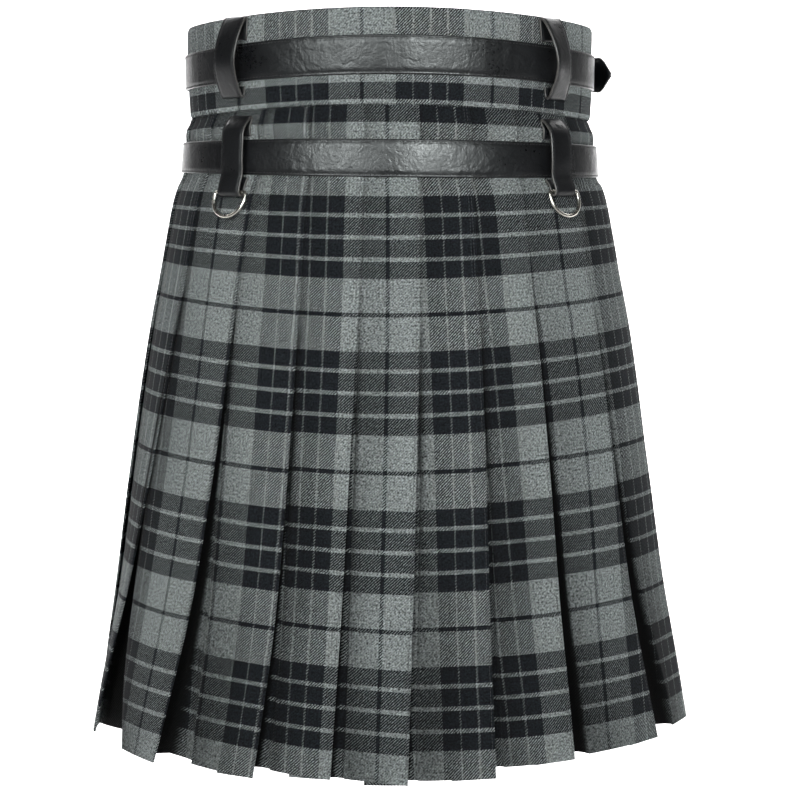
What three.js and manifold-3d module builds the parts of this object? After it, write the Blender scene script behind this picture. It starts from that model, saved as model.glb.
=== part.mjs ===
// A utility kilt, filled out as it is worn: a tartan waistband, knife pleats round the back and sides,
// two flat aprons in front, leather straps with buckles, belt loops and two hanging D-rings.
// Millimetres. +Z is up, +Y is the wearer's front and +X the wearer's right. The origin is the centre of
// the waist opening, level with the top edge at the back.
import * as THREE from "three";
import { mergeVertices } from "three/addons/utils/BufferGeometryUtils.js";
import Module from "manifold-3d";

const wasm = await Module();
wasm.setup();

// ---- driving dimensions ----

const SEAM_GAP = 0.3; // between pieces that are sewn together
const CLOTH = 1.4; // pleats and aprons
const BAND_CLOTH = 2.4; // the waistband is two layers
const BAND_DEPTH = 77; // top edge to the seam above the pleats
const PLEATS_FREE = 230; // the pleats are sewn down to this far below the top edge
const LENGTH = 610; // top edge to hem at the back centre
const PLY = 2.2; // spacing of the folded layers of one pleat
const APRON_PLY = 3.2; // spacing of the two aprons
const HALF_FLATTENING = 53; // half width less half depth, the same at every level

// The garment's outline, level by level: depth below the top edge, half width over the cloth, how far
// a level thread rises at both sides, and how far it rises on the wearer's right alone.
const LEVELS = [
  { depth: 0, halfWidth: 170.5, rise: -11, tilt: 0 },
  { depth: 22, halfWidth: 170.5, rise: -11.5, tilt: 0 },
  { depth: 54, halfWidth: 170, rise: -9, tilt: 0 },
  { depth: 77, halfWidth: 169, rise: -9.5, tilt: -1 },
  { depth: 84, halfWidth: 170, rise: -8, tilt: -1 },
  { depth: 95, halfWidth: 173.5, rise: -5, tilt: -1.5 },
  { depth: 104, halfWidth: 173, rise: -2.5, tilt: -1.5 },
  { depth: 135, halfWidth: 175, rise: 2, tilt: -2 },
  { depth: 146, halfWidth: 180, rise: 4, tilt: 0 },
  { depth: 160, halfWidth: 184, rise: 6, tilt: 0 },
  { depth: 193, halfWidth: 190, rise: 9, tilt: 0 },
  { depth: 230, halfWidth: 196, rise: 12.5, tilt: 0 },
  { depth: 270, halfWidth: 203.5, rise: 14, tilt: 0.7 },
  { depth: 330, halfWidth: 213, rise: 14.5, tilt: 2 },
  { depth: 400, halfWidth: 223, rise: 12.5, tilt: 3 },
  { depth: 490, halfWidth: 235, rise: 12, tilt: 4 },
  { depth: 560, halfWidth: 247, rise: 11, tilt: 4.5 },
  { depth: 610, halfWidth: 255, rise: 10, tilt: 5 },
];

// The knife pleats from the wearer's left to right. Angles are in degrees from the back centre. edge is
// the folded edge at the seam, at the end of the sewing and at the hem; crease is where the next panel
// comes to the front at the hem; pocket is how deep the opened pleat is there, in mm. edgeLate and
// creaseLate say how late, on the way down, the two swing to their place at the hem. leftUp and edgeUp
// are how far the panel that ends in this edge is drawn up at the hem, at its left side and at its edge.
const PLEATS = [
  [-97, -99, -115, -112, 12, 1.5, 1.5, 0, 0],
  [-78, -79.5, -98, -95, 13, 2, 2, 0, 0],
  [-58, -59.6, -81, -60.4, 25, 3, 1, 0, 0],
  [-36.5, -38.8, -48.6, -39.7, 19, 2, 1, 0.5, 0],
  [-22, -21.3, -25.1, -22.4, 11, 2.5, 3, 4.5, 1],
  [-6.5, -7, -10.4, -8.5, 9, 1, 1, 8, 4],
  [8.3, 7.2, 3.3, 4.8, 8, 1, 1, 4, -1],
  [22.5, 21.4, 19.3, 20.8, 9, 1, 1, 1.5, 0],
  [37, 36.2, 35.6, 38, 24, 1, 1, 7, 5.5],
  [58.5, 56.9, 60.2, 66.4, 28, 4, 2.5, 6, 4],
  [78, 78, 82, 85.5, 14, 2, 2, 4, 3],
  [97, 98, 101, 104, 12, 1, 1, 2, 1],
].map(([edgeTop, edgeHip, edgeHem, crease, pocket, edgeLate, creaseLate, leftUp, edgeUp]) => (
  { edgeTop, edgeHip, edgeHem, crease, pocket, edgeLate, creaseLate, leftUp, edgeUp }
));
const TUCK = { top: 26, hem: 34 }; // how far each pleat is folded under
const CREASE_DROP = 3; // how far a panel's left side lies below its folded edge at the hem
const FOLD_REACH = 2; // from a folded edge to where its two layers run level
const LIFT_LATE = 1.3; // how late, on the way down, a panel is drawn up

const OVER_APRON_EDGE = { top: -255, hem: -248 }; // its free edge, at the wearer's right hip
const UNDER_APRON_EDGE = { top: 246, hem: 229 }; // its free edge, inside at the wearer's left
const APRON_COLUMNS = 22;
const SKIRT_DEPTHS = [
  BAND_DEPTH + SEAM_GAP, 94, 106, 135, 150, 188, PLEATS_FREE, 285, 350, 420, 490, 555, LENGTH,
];
const BAND_DEPTHS = [0, 40, BAND_DEPTH];
const BAND_STEP = 6; // degrees

// ---- the body of the garment ----

const radians = THREE.MathUtils.degToRad;
const mix = THREE.MathUtils.lerp;

// The outline's row at a depth, between the rows of LEVELS.
function level(depth) {
  const last = LEVELS.length - 2;
  const found = LEVELS.findIndex((row, n) => n <= last && depth <= LEVELS[n + 1].depth);
  const n = found < 0 ? last : found;
  const [a, b] = [LEVELS[n], LEVELS[n + 1]];
  const t = (depth - a.depth) / (b.depth - a.depth);
  return {
    halfWidth: mix(a.halfWidth, b.halfWidth, t),
    rise: mix(a.rise, b.rise, t),
    tilt: mix(a.tilt, b.tilt, t),
  };
}

// A point at an angle round the body and a depth below the top edge, out mm outside the cloth's face.
function bodyPoint(angle, depth, out = 0) {
  const { halfWidth, rise, tilt } = level(depth);
  const halfDepth = halfWidth - HALF_FLATTENING;
  const [s, c] = [Math.sin(radians(angle)), Math.cos(radians(angle))];
  const normal = new THREE.Vector2(s / halfWidth, -c / halfDepth).normalize();
  return new THREE.Vector3(
    halfWidth * s + out * normal.x,
    -halfDepth * c + out * normal.y,
    -depth + rise * s * s + tilt * s,
  );
}

// The angle that a length along the cloth takes up at a place.
function degreesFor(mm, angle, depth) {
  const step = bodyPoint(angle + 0.5, depth).distanceTo(bodyPoint(angle - 0.5, depth));
  return mm / step;
}

// Directions at a place on the body: level to the wearer's right, and out of the cloth.
function directions(angle, depth) {
  const along = bodyPoint(angle + 0.5, depth).sub(bodyPoint(angle - 0.5, depth)).setZ(0).normalize();
  const down = bodyPoint(angle, depth + 4).sub(bodyPoint(angle, depth - 4)).normalize();
  return { along, out: down.cross(along).normalize() };
}

// ---- the pleats ----

// How far, from 0 at the end of the sewing to 1 at the hem, a depth is down the free pleats.
function freeShare(depth) {
  return THREE.MathUtils.clamp((depth - PLEATS_FREE) / (LENGTH - PLEATS_FREE), 0, 1);
}

function edgeAngle(pleat, depth) {
  if (depth < PLEATS_FREE) {
    return mix(pleat.edgeTop, pleat.edgeHip, (depth - BAND_DEPTH) / (PLEATS_FREE - BAND_DEPTH));
  }
  return mix(pleat.edgeHip, pleat.edgeHem, freeShare(depth) ** pleat.edgeLate);
}

function creaseAngle(pleat, depth) {
  if (depth < PLEATS_FREE) return edgeAngle(pleat, depth);
  return mix(pleat.edgeHip, pleat.crease, freeShare(depth) ** pleat.creaseLate);
}

// How far the cloth of a panel lies inside the outline, share of the way from its crease to its edge.
function panelDrop(share, depth) {
  const atCrease = mix(2 * PLY, CREASE_DROP, freeShare(depth));
  return atCrease * (1 - share) ** 1.3;
}

// How far the cloth of panel n is drawn up, share of the way from its crease to its edge.
function panelLift(n, share, depth) {
  if (n >= PLEATS.length) return 0;
  return mix(PLEATS[n].leftUp, PLEATS[n].edgeUp, share) * freeShare(depth) ** LIFT_LATE;
}

// The front layer of pleat n's panel, as places on the middle of the cloth.
function panelPlaces(n, depth) {
  const edge = edgeAngle(PLEATS[n], depth);
  const start = creaseAngle(PLEATS[n - 1], depth);
  const first = start + degreesFor(FOLD_REACH, start, depth);
  const last = edge - degreesFor(FOLD_REACH, edge, depth);
  return [0, 0.35, 0.7, 1].map((share) => ({
    angle: mix(first, last, share),
    out: -CLOTH / 2 - panelDrop(share, depth),
    lift: panelLift(n, share, depth),
  }));
}

// The folded edge of pleat n and the layer that returns beneath its panel.
function returnPlaces(n, depth) {
  const edge = edgeAngle(PLEATS[n], depth);
  const start = n ? creaseAngle(PLEATS[n - 1], depth) : edge - 20;
  const reach = degreesFor(FOLD_REACH, edge, depth);
  const fold = edge - degreesFor(CLOTH / 2, edge, depth);
  const inner = edge - degreesFor(mix(TUCK.top, TUCK.hem, freeShare(depth)), edge, depth);
  const drop = n ? panelDrop((inner - start) / (edge - start), depth) : 0;
  const lift = panelLift(n, 1, depth);
  return [
    { angle: fold, out: -CLOTH / 2 - PLY / 2, lift },
    { angle: edge - reach, out: -CLOTH / 2 - PLY, lift },
    { angle: inner, out: -CLOTH / 2 - PLY - drop, lift },
  ];
}

// The layer beneath, from the pleat's inner fold out towards the next panel.
function underPlaces(n, depth) {
  const edge = edgeAngle(PLEATS[n], depth);
  const [, , inner] = returnPlaces(n, depth);
  const pocket = mix(2 * PLY, PLEATS[n].pocket, freeShare(depth));
  return [
    { angle: inner.angle, out: inner.out - PLY, lift: inner.lift },
    {
      angle: edge - degreesFor(FOLD_REACH, edge, depth),
      out: -CLOTH / 2 - pocket,
      lift: panelLift(n + 1, 0, depth),
    },
  ];
}

// The turn at a pleat's inner fold, between its two hidden layers.
function innerFoldPlace(n, depth) {
  const [, , inner] = returnPlaces(n, depth);
  const angle = inner.angle - degreesFor(FOLD_REACH / 2, inner.angle, depth);
  return { angle, out: inner.out - PLY / 2, lift: inner.lift };
}

// How far the visible cloth lies outside the outline at a place in the sewn part: nil or less.
function clothOut(angle, depth) {
  if (depth <= BAND_DEPTH) return 0;
  const n = PLEATS.findIndex((pleat) => edgeAngle(pleat, depth) > angle);
  if (n < 1) return 0;
  const [start, edge] = [creaseAngle(PLEATS[n - 1], depth), edgeAngle(PLEATS[n], depth)];
  return -panelDrop((angle - start) / (edge - start), depth);
}

function pleatedPlaces(depth) {
  const places = [...underPlaces(0, depth)];
  for (let n = 1; n < PLEATS.length; n++) {
    places.push(...panelPlaces(n, depth), ...returnPlaces(n, depth));
    if (n < PLEATS.length - 1) places.push(innerFoldPlace(n, depth), ...underPlaces(n, depth));
  }
  return places;
}

function overApronPlaces(depth) {
  const edge = edgeAngle(PLEATS[0], depth);
  const last = edge - degreesFor(FOLD_REACH, edge, depth);
  const first = mix(OVER_APRON_EDGE.top, OVER_APRON_EDGE.hem, depth / LENGTH);
  const flat = Array.from({ length: APRON_COLUMNS + 1 }, (_, n) => ({
    angle: mix(first, last, n / APRON_COLUMNS),
    out: -CLOTH / 2,
  }));
  return [...flat, ...returnPlaces(0, depth)];
}

function underApronPlaces(depth) {
  const n = PLEATS.length - 1;
  const start = creaseAngle(PLEATS[n], depth) + degreesFor(FOLD_REACH, 100, depth);
  const last = mix(UNDER_APRON_EDGE.top, UNDER_APRON_EDGE.hem, depth / LENGTH);
  const flat = Array.from({ length: APRON_COLUMNS + 1 }, (_, column) => ({
    angle: mix(start, last, column / APRON_COLUMNS),
    out: -CLOTH / 2 - APRON_PLY,
  }));
  return [...underPlaces(n, depth), ...flat];
}

function bandPlaces() {
  const start = OVER_APRON_EDGE.top;
  const columns = Math.round((UNDER_APRON_EDGE.top - start) / BAND_STEP);
  const overlapFrom = start + 360 - 2 * BAND_STEP;
  return Array.from({ length: columns + 1 }, (_, n) => {
    const angle = mix(start, UNDER_APRON_EDGE.top, n / columns);
    const inside = THREE.MathUtils.smoothstep(angle, overlapFrom, overlapFrom + BAND_STEP);
    return { angle, out: -BAND_CLOTH / 2 - inside * APRON_PLY };
  });
}

// ---- making solids ----

// Joins closed cross-sections into one solid. Each lists its points down one face and back up the other,
// so that opposite points pair off across the two end caps. A ring has no caps. Both faces are split
// along the same diagonals, so a wall that twists keeps its thickness.
function sweep(sections, ring = false) {
  const count = sections[0].length;
  const vertex = (section, n) => (section % sections.length) * count + (n % count);
  const triangles = [];
  const spans = ring ? sections.length : sections.length - 1;
  for (let section = 0; section < spans; section++) {
    for (let n = 0; n < count; n++) {
      const [a, d] = [vertex(section, n), vertex(section, n + 1)];
      const [b, c] = [vertex(section + 1, n), vertex(section + 1, n + 1)];
      const backFace = n >= count / 2;
      triangles.push(...(backFace ? [a, d, b, d, c, b] : [a, d, c, a, c, b]));
    }
  }
  for (let n = 0; !ring && n < count / 2 - 1; n++) {
    const quad = [n, count - 1 - n, count - 2 - n, n + 1];
    const [a, b, c, d] = quad;
    triangles.push(a, b, c, a, c, d);
    const [e, f, g, h] = quad.map((point) => vertex(sections.length - 1, point));
    triangles.push(e, g, f, e, h, g);
  }
  const geometry = new THREE.BufferGeometry().setFromPoints(sections.flat());
  geometry.setIndex(triangles);
  geometry.computeVertexNormals();
  return geometry;
}

// The outward direction across a level line of points at point n, stretched where the line turns.
function across(points, n) {
  const before = points[n].clone().sub(points[Math.max(n - 1, 0)]).setZ(0);
  const after = points[Math.min(n + 1, points.length - 1)].clone().sub(points[n]).setZ(0);
  if (n === 0) before.copy(after);
  if (n === points.length - 1) after.copy(before);
  const [p, q] = [before.normalize(), after.normalize()];
  const middle = p.clone().add(q).normalize();
  const stretch = Math.min(1 / Math.max(middle.dot(p), 0.5), 1.4);
  return new THREE.Vector3(middle.y, -middle.x, 0).multiplyScalar(stretch);
}

// A wall of cloth through level rows of places, each row at a depth.
function wall(depths, placesAt, thickness) {
  const rows = depths.map((depth) => {
    const line = placesAt(depth).map(({ angle, out, lift = 0 }) =>
      bodyPoint(angle, depth, out).add(new THREE.Vector3(0, 0, lift)));
    return line.map((point, n) => {
      const half = across(line, n).multiplyScalar(thickness / 2);
      return { outer: point.clone().add(half), inner: point.clone().sub(half) };
    });
  });
  const columns = rows[0].map((_, column) => rows.map((row) => row[column]));
  return sweep(columns.map((column) => [
    ...column.map(({ outer }) => outer),
    ...column.map(({ inner }) => inner).reverse(),
  ]));
}

function toSolid(geometry) {
  const bare = geometry.clone();
  bare.deleteAttribute("normal");
  bare.deleteAttribute("uv");
  const merged = mergeVertices(bare.index ? bare : bare.toNonIndexed(), 1e-4);
  const vertProperties = new Float32Array(merged.attributes.position.array);
  const triVerts = new Uint32Array(merged.index.array);
  return new wasm.Manifold(new wasm.Mesh({ numProp: 3, vertProperties, triVerts }));
}

function cutAway(geometry, cutter) {
  const { vertProperties, triVerts } = toSolid(geometry).subtract(toSolid(cutter)).getMesh();
  const cut = new THREE.BufferGeometry();
  cut.setAttribute("position", new THREE.BufferAttribute(vertProperties, 3));
  cut.setIndex(new THREE.BufferAttribute(triVerts, 1));
  cut.computeVertexNormals();
  return cut;
}

// ---- straps and buckles ----

const STRAP = 2.4; // thickness of the leather
const STRAP_OUT = SEAM_GAP + 0.05 + STRAP / 2; // the middle of a strap that lies on the cloth
const STRAP_STEP = 5; // degrees
const BAR_RADIUS = 2;
const BAR_OUT = 6.4; // buckle bars, above the cloth
const BAR_ALONG = 17; // each bar from the buckle's middle
const BAR_WRAP = BAR_RADIUS + 0.6 + STRAP / 2; // the middle of the leather folded round a bar
const RAIL_CLEARANCE = 1.6; // between a strap's edge and the buckle's side rails
const PRONG_RADIUS = 1.4;
const PRONG = { root: { along: 11.4, out: 7 }, tip: { along: -20.5, out: 11 } };
const PRONG_SLOT = { from: -8, to: 11, height: 4.4, out: 16 };

// top and bottom are depths and buckle is the angle of its middle. The tail is the free end beyond the
// buckle, in mm along the cloth towards the back and mm out from it, with its height at the blunt tip.
const STRAPS = {
  upper: {
    top: 22,
    bottom: 53.5,
    buckle: 118,
    tail: [{ along: 24, out: 13.2 }, { along: 34, out: 15 }, { along: 46, out: 18.6, height: 4 }],
  },
  lower: {
    top: 105,
    bottom: 135.5,
    buckle: 127,
    tail: [{ along: 26, out: 11.6 }, { along: 34, out: 9.4 }, { along: 46, out: 8.2, height: 4 }],
  },
};

// The near end folded round the buckle's rear bar, from the sewn-down end to the strap that leaves it.
const STRAP_FOLD = [
  { along: 46, out: STRAP_OUT + STRAP + 0.5 },
  { along: 34, out: STRAP_OUT + STRAP + 0.8 },
  { along: 26, out: 7.4 },
  { along: 21, out: 9.4 },
  { along: BAR_ALONG, out: BAR_OUT + BAR_WRAP },
  { along: BAR_ALONG - 0.7 * BAR_WRAP, out: BAR_OUT + 0.7 * BAR_WRAP },
  { along: BAR_ALONG - BAR_WRAP, out: BAR_OUT },
  { along: BAR_ALONG - 0.7 * BAR_WRAP, out: BAR_OUT - 0.7 * BAR_WRAP },
  { along: BAR_ALONG, out: BAR_OUT - BAR_WRAP },
  { along: 23, out: 2.1 },
  { along: 31, out: STRAP_OUT },
];

// The far end on its way under the front bar, up through the frame and over the rear bar.
const STRAP_THROUGH = [
  { along: -26, out: STRAP_OUT },
  { along: -17, out: STRAP_OUT + 0.1 },
  { along: -8, out: 3.4 },
  { along: 2, out: 7.5 },
  { along: 10, out: 11.4 },
  { along: BAR_ALONG, out: BAR_OUT + BAR_WRAP + STRAP + 0.5 },
];

const middleDepth = (strap) => (strap.top + strap.bottom) / 2;

// The angle of a place that lies a length along the cloth from the buckle's middle, towards the back.
function besideBuckle(strap, along) {
  return strap.buckle - degreesFor(along, strap.buckle - along / 4, middleDepth(strap));
}

function buckleAreaPoint(strap, { along, out }) {
  return bodyPoint(besideBuckle(strap, along), middleDepth(strap), out);
}

function strapPlaces(strap) {
  const place = (row) => ({ ...row, angle: besideBuckle(strap, row.along) });
  const fold = STRAP_FOLD.map(place);
  const through = [...STRAP_THROUGH, ...strap.tail].map(place);
  through.forEach((row) => (row.angle -= 360));
  const from = fold.at(-1).angle;
  const to = through[0].angle;
  const steps = Math.round((from - to) / STRAP_STEP);
  const round = Array.from({ length: steps - 1 }, (_, n) => ({
    angle: mix(from, to, (n + 1) / steps),
    out: STRAP_OUT,
  }));
  return [...fold, ...round, ...through].reverse();
}

function strapGeometry(strap) {
  const full = strap.bottom - strap.top;
  const places = strapPlaces(strap);
  const [upperLine, lowerLine] = [-0.5, 0.5].map((side) =>
    places.map(({ angle, out, height = full }) =>
      bodyPoint(angle, middleDepth(strap) + side * height, out)));
  const sections = places.map((_, n) => {
    const [upper, lower] = [upperLine, lowerLine].map((line) => {
      const half = across(line, n).multiplyScalar(STRAP / 2);
      return { outer: line[n].clone().add(half), inner: line[n].clone().sub(half) };
    });
    return [upper.outer, lower.outer, lower.inner, upper.inner];
  });
  const { from, to, height, out } = PRONG_SLOT;
  const slot = new THREE.BoxGeometry(to - from, out, height);
  slot.translate((from + to) / 2, out / 2, 0);
  slot.applyMatrix4(buckleMatrix(strap, 0));
  return cutAway(sweep(sections), slot);
}

// A buckle's own frame, out mm above the cloth: X along the cloth to the back, Y out of it and Z up.
function buckleMatrix(strap, out) {
  const rear = buckleAreaPoint(strap, { along: BAR_ALONG, out });
  const front = buckleAreaPoint(strap, { along: -BAR_ALONG, out });
  const backwards = rear.clone().sub(front).setZ(0).normalize();
  const lean = bodyPoint(strap.buckle, strap.top).sub(bodyPoint(strap.buckle, strap.bottom));
  const outward = lean.cross(backwards).normalize();
  const up = backwards.clone().cross(outward);
  return new THREE.Matrix4()
    .makeBasis(backwards, outward, up)
    .setPosition(rear.add(front).multiplyScalar(0.5));
}

// Round wire bent to a closed outline, which runs anticlockwise in its own XY plane.
function wireGeometry(outline, radius, sides) {
  const sections = outline.map((point, n) => {
    const before = outline[(n + outline.length - 1) % outline.length];
    const after = outline[(n + 1) % outline.length];
    const heading = after.clone().sub(before).normalize();
    return Array.from({ length: sides }, (_, side) => {
      const turn = (2 * Math.PI * side) / sides;
      const reach = radius * Math.cos(turn);
      const x = point.x + reach * heading.y;
      const y = point.y - reach * heading.x;
      return new THREE.Vector3(x, y, -radius * Math.sin(turn));
    });
  });
  return sweep(sections, true);
}

function arc(centreX, centreY, radiusX, radiusY, from, to, steps) {
  return Array.from({ length: steps + 1 }, (_, n) => {
    const turn = radians(mix(from, to, n / steps));
    return new THREE.Vector2(centreX + radiusX * Math.cos(turn), centreY + radiusY * Math.sin(turn));
  });
}

function buckleGeometry(strap) {
  const rear = buckleAreaPoint(strap, { along: BAR_ALONG, out: BAR_OUT });
  const front = buckleAreaPoint(strap, { along: -BAR_ALONG, out: BAR_OUT });
  const halfLength = rear.distanceTo(front) / 2;
  const halfHeight = (strap.bottom - strap.top) / 2 + RAIL_CLEARANCE + BAR_RADIUS;
  const corner = RAIL_CLEARANCE + BAR_RADIUS;
  const [x, y] = [halfLength - corner, halfHeight - corner];
  const outline = [
    ...arc(x, y, corner, corner, 0, 90, 3),
    ...arc(-x, y, corner, corner, 90, 180, 3),
    ...arc(-x, -y, corner, corner, 180, 270, 3),
    ...arc(x, -y, corner, corner, 270, 360, 3),
  ];
  return wireGeometry(outline, BAR_RADIUS, 8).rotateX(Math.PI / 2);
}

function prongGeometry(strap) {
  const root = buckleAreaPoint(strap, PRONG.root);
  const tip = buckleAreaPoint(strap, PRONG.tip);
  const geometry = new THREE.CylinderGeometry(PRONG_RADIUS, PRONG_RADIUS, root.distanceTo(tip), 8);
  geometry.applyQuaternion(
    new THREE.Quaternion().setFromUnitVectors(
      new THREE.Vector3(0, 1, 0),
      tip.clone().sub(root).normalize(),
    ),
  );
  const middle = root.add(tip).multiplyScalar(0.5);
  return geometry.translate(middle.x, middle.y, middle.z);
}

// ---- leather loops and D-rings ----

const LOOP_LEATHER = 2;
const LOOP_WIDTH = 22;
const LOOP_SEAT = SEAM_GAP + LOOP_LEATHER / 2; // the middle of a loop's leg that lies on the cloth
const LOOP_STEPS = 32;
const WIRE_RADIUS = 1.5;
const RING_DEPTH = 149.5; // the ring's straight bar, below the top edge
const RING_OUT = 4.6; // the bar's middle from the cloth
const RING_WRAP = WIRE_RADIUS + 0.5 + LOOP_LEATHER / 2; // the middle of the leather folded round it
const RING_HALF_WIDTH = 15.5; // to the middle of the wire
const RING_ARM = 6; // the straight part of each arm
const RING_BOW = 15; // depth of the round part
const RING_CORNER = 2.5; // bend at each end of the straight bar
const RING_LEAN = 5; // degrees, towards the cloth from lying level with it

// Each loop's angle half way down, how far it leans to the wearer's right in degrees per mm down, and how
// far its standing leg is turned, in degrees.
const BELT_LOOP_MIDDLE = 35;
const BELT_LOOPS = {
  left: { angle: -46.9, lean: -0.03, turn: 0 },
  right: { angle: 50.6, lean: 0.05, turn: 16 },
};
const RING_LOOPS = {
  left: { angle: -44.3, lean: 0, turn: 0 },
  right: { angle: 49.9, lean: 0, turn: 0 },
};

// Down a belt loop: the short sewn leg, the fold at the top edge, the standing leg and the sewn foot.
const BELT_LOOP_LINE = [
  { depth: 19, out: LOOP_SEAT },
  { depth: 9, out: LOOP_SEAT },
  { depth: 3, out: LOOP_SEAT + 0.2 },
  { depth: 1.3, out: 2.8 },
  { depth: 3.5, out: 5.6 },
  { depth: 13, out: 10.8 },
  { depth: 26, out: 14.8 },
  { depth: 38, out: 15.6 },
  { depth: 50, out: 12.6 },
  { depth: 60, out: 7.4 },
  { depth: 65.3, out: 3.6 },
  { depth: 63.5, out: LOOP_SEAT + 0.2 },
  { depth: 57, out: LOOP_SEAT },
];

// Down a ring loop: the same, but its lower end is folded up round the ring's bar.
const RING_LOOP_LINE = [
  { depth: 102, out: LOOP_SEAT },
  { depth: 93, out: LOOP_SEAT },
  { depth: 86, out: LOOP_SEAT + 0.2 },
  { depth: 83.5, out: 2.8 },
  { depth: 85.5, out: 5.4 },
  { depth: 95, out: 9 },
  { depth: 108, out: 11.4 },
  { depth: 122, out: 11.4 },
  { depth: 135, out: 10 },
  { depth: 143, out: 8.6 },
  ...[0, 45, 90, 135, 180].map((turn) => ({
    depth: RING_DEPTH,
    below: RING_WRAP * Math.sin(radians(turn)),
    out: RING_OUT + RING_WRAP * Math.cos(radians(turn)),
  })),
  { depth: 144.5, out: LOOP_SEAT },
  { depth: 138, out: LOOP_SEAT },
];

// How far out the highest cloth beneath a loop's width lies.
function loopBed(angle, depth) {
  const reach = degreesFor(LOOP_WIDTH / 2, angle, depth);
  return Math.max(...[-1, -0.5, 0, 0.5, 1].map((side) => clothOut(angle + side * reach, depth)));
}

// A leather loop along its line. Where it stands off, it is turned about its own length.
function loopGeometry({ angle, lean, turn }, line) {
  const points = line.map(({ depth, out, below = 0 }) => {
    const leaning = angle + lean * (depth - BELT_LOOP_MIDDLE);
    return bodyPoint(leaning, depth, out + loopBed(leaning, depth)).sub(new THREE.Vector3(0, 0, below));
  });
  const curve = new THREE.CatmullRomCurve3(points, false, "centripetal");
  const { along } = directions(angle, line.at(-1).depth);
  const furthest = Math.max(...line.map((row) => row.out));
  const sections = Array.from({ length: LOOP_STEPS + 1 }, (_, n) => {
    const share = n / LOOP_STEPS;
    const point = curve.getPoint(share);
    const row = share * (line.length - 1);
    const [before, after] = [line[Math.floor(row)], line[Math.ceil(row)]];
    const standing = mix(before.out, after.out, row % 1) / furthest;
    const side = along.clone().applyAxisAngle(new THREE.Vector3(0, 0, 1), radians(turn * standing));
    const half = side.clone().multiplyScalar(LOOP_WIDTH / 2);
    const face = side.cross(curve.getTangent(share)).normalize().multiplyScalar(LOOP_LEATHER / 2);
    return [
      point.clone().sub(half).add(face),
      point.clone().add(half).add(face),
      point.clone().add(half).sub(face),
      point.clone().sub(half).sub(face),
    ];
  });
  return sweep(sections);
}

function ringMatrix({ angle }) {
  const { along, out } = directions(angle, RING_DEPTH + RING_BOW / 2);
  const outward = out.applyAxisAngle(along, radians(-RING_LEAN));
  const up = outward.clone().cross(along);
  return new THREE.Matrix4()
    .makeBasis(along, up, outward)
    .setPosition(bodyPoint(angle, RING_DEPTH, RING_OUT + loopBed(angle, RING_DEPTH)));
}

// A D-ring in its own XY plane: its straight bar lies on X and its bow hangs down -Y.
function ringGeometry() {
  const bar = RING_HALF_WIDTH - RING_CORNER;
  const outline = [
    ...arc(0, -RING_ARM, RING_HALF_WIDTH, RING_BOW, 180, 360, 14),
    ...arc(bar, -RING_CORNER, RING_CORNER, RING_CORNER, 0, 90, 3),
    ...arc(-bar, -RING_CORNER, RING_CORNER, RING_CORNER, 90, 180, 3),
  ];
  return wireGeometry(outline, WIRE_RADIUS, 8);
}

// ---- the kilt ----

function finish(color, roughness, metalness = 0) {
  return () => new THREE.MeshStandardMaterial({ color, roughness, metalness });
}
const tartan = finish(0x6f7374, 0.9);
const leather = finish(0x232326, 0.45);
const nickel = finish(0xc9c7c0, 0.25, 1);

const kilt = new THREE.Group();

function add(name, geometry, material, matrix) {
  const mesh = new THREE.Mesh(geometry, material());
  mesh.name = name;
  if (matrix) mesh.applyMatrix4(matrix);
  kilt.add(mesh);
}

add("waistband", wall(BAND_DEPTHS, bandPlaces, BAND_CLOTH), tartan);
add("pleated_skirt", wall(SKIRT_DEPTHS, pleatedPlaces, CLOTH), tartan);
add("over_apron", wall(SKIRT_DEPTHS, overApronPlaces, CLOTH), tartan);
add("under_apron", wall(SKIRT_DEPTHS, underApronPlaces, CLOTH), tartan);
for (const [name, strap] of Object.entries(STRAPS)) {
  add(`strap_${name}`, strapGeometry(strap), leather);
  add(`buckle_${name}`, buckleGeometry(strap), nickel, buckleMatrix(strap, BAR_OUT));
  add(`prong_${name}`, prongGeometry(strap), nickel);
}
for (const [side, loop] of Object.entries(BELT_LOOPS)) {
  add(`belt_loop_${side}`, loopGeometry(loop, BELT_LOOP_LINE), leather);
}
for (const [side, loop] of Object.entries(RING_LOOPS)) {
  add(`ring_loop_${side}`, loopGeometry(loop, RING_LOOP_LINE), leather);
  add(`ring_${side}`, ringGeometry(), nickel, ringMatrix(loop));
}

export default kilt;
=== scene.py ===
import math
from collections import namedtuple

import bmesh
import bpy
import numpy as np
from mathutils import Matrix, Vector


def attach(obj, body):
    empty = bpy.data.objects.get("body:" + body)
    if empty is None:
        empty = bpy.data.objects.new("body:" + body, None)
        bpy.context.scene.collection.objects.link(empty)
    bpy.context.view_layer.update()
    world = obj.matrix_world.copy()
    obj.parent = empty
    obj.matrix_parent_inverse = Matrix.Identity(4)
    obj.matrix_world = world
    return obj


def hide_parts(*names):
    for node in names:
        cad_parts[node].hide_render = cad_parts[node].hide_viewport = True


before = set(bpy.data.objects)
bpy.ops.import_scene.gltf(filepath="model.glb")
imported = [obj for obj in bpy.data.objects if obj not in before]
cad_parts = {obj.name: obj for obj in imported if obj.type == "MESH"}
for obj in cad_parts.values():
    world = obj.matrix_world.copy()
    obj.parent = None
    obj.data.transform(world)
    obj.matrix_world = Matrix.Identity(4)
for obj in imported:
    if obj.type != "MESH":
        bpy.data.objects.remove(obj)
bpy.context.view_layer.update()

# ---- camera ----
# The kilt hangs in the studio as if worn, and is looked at from behind, slightly above its middle.

CAMERA_PLACE = (0.006, -2.100, -0.146)
CAMERA_TILT = 4.79  # degrees below level
CAMERA_LENS = 111.8

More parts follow.
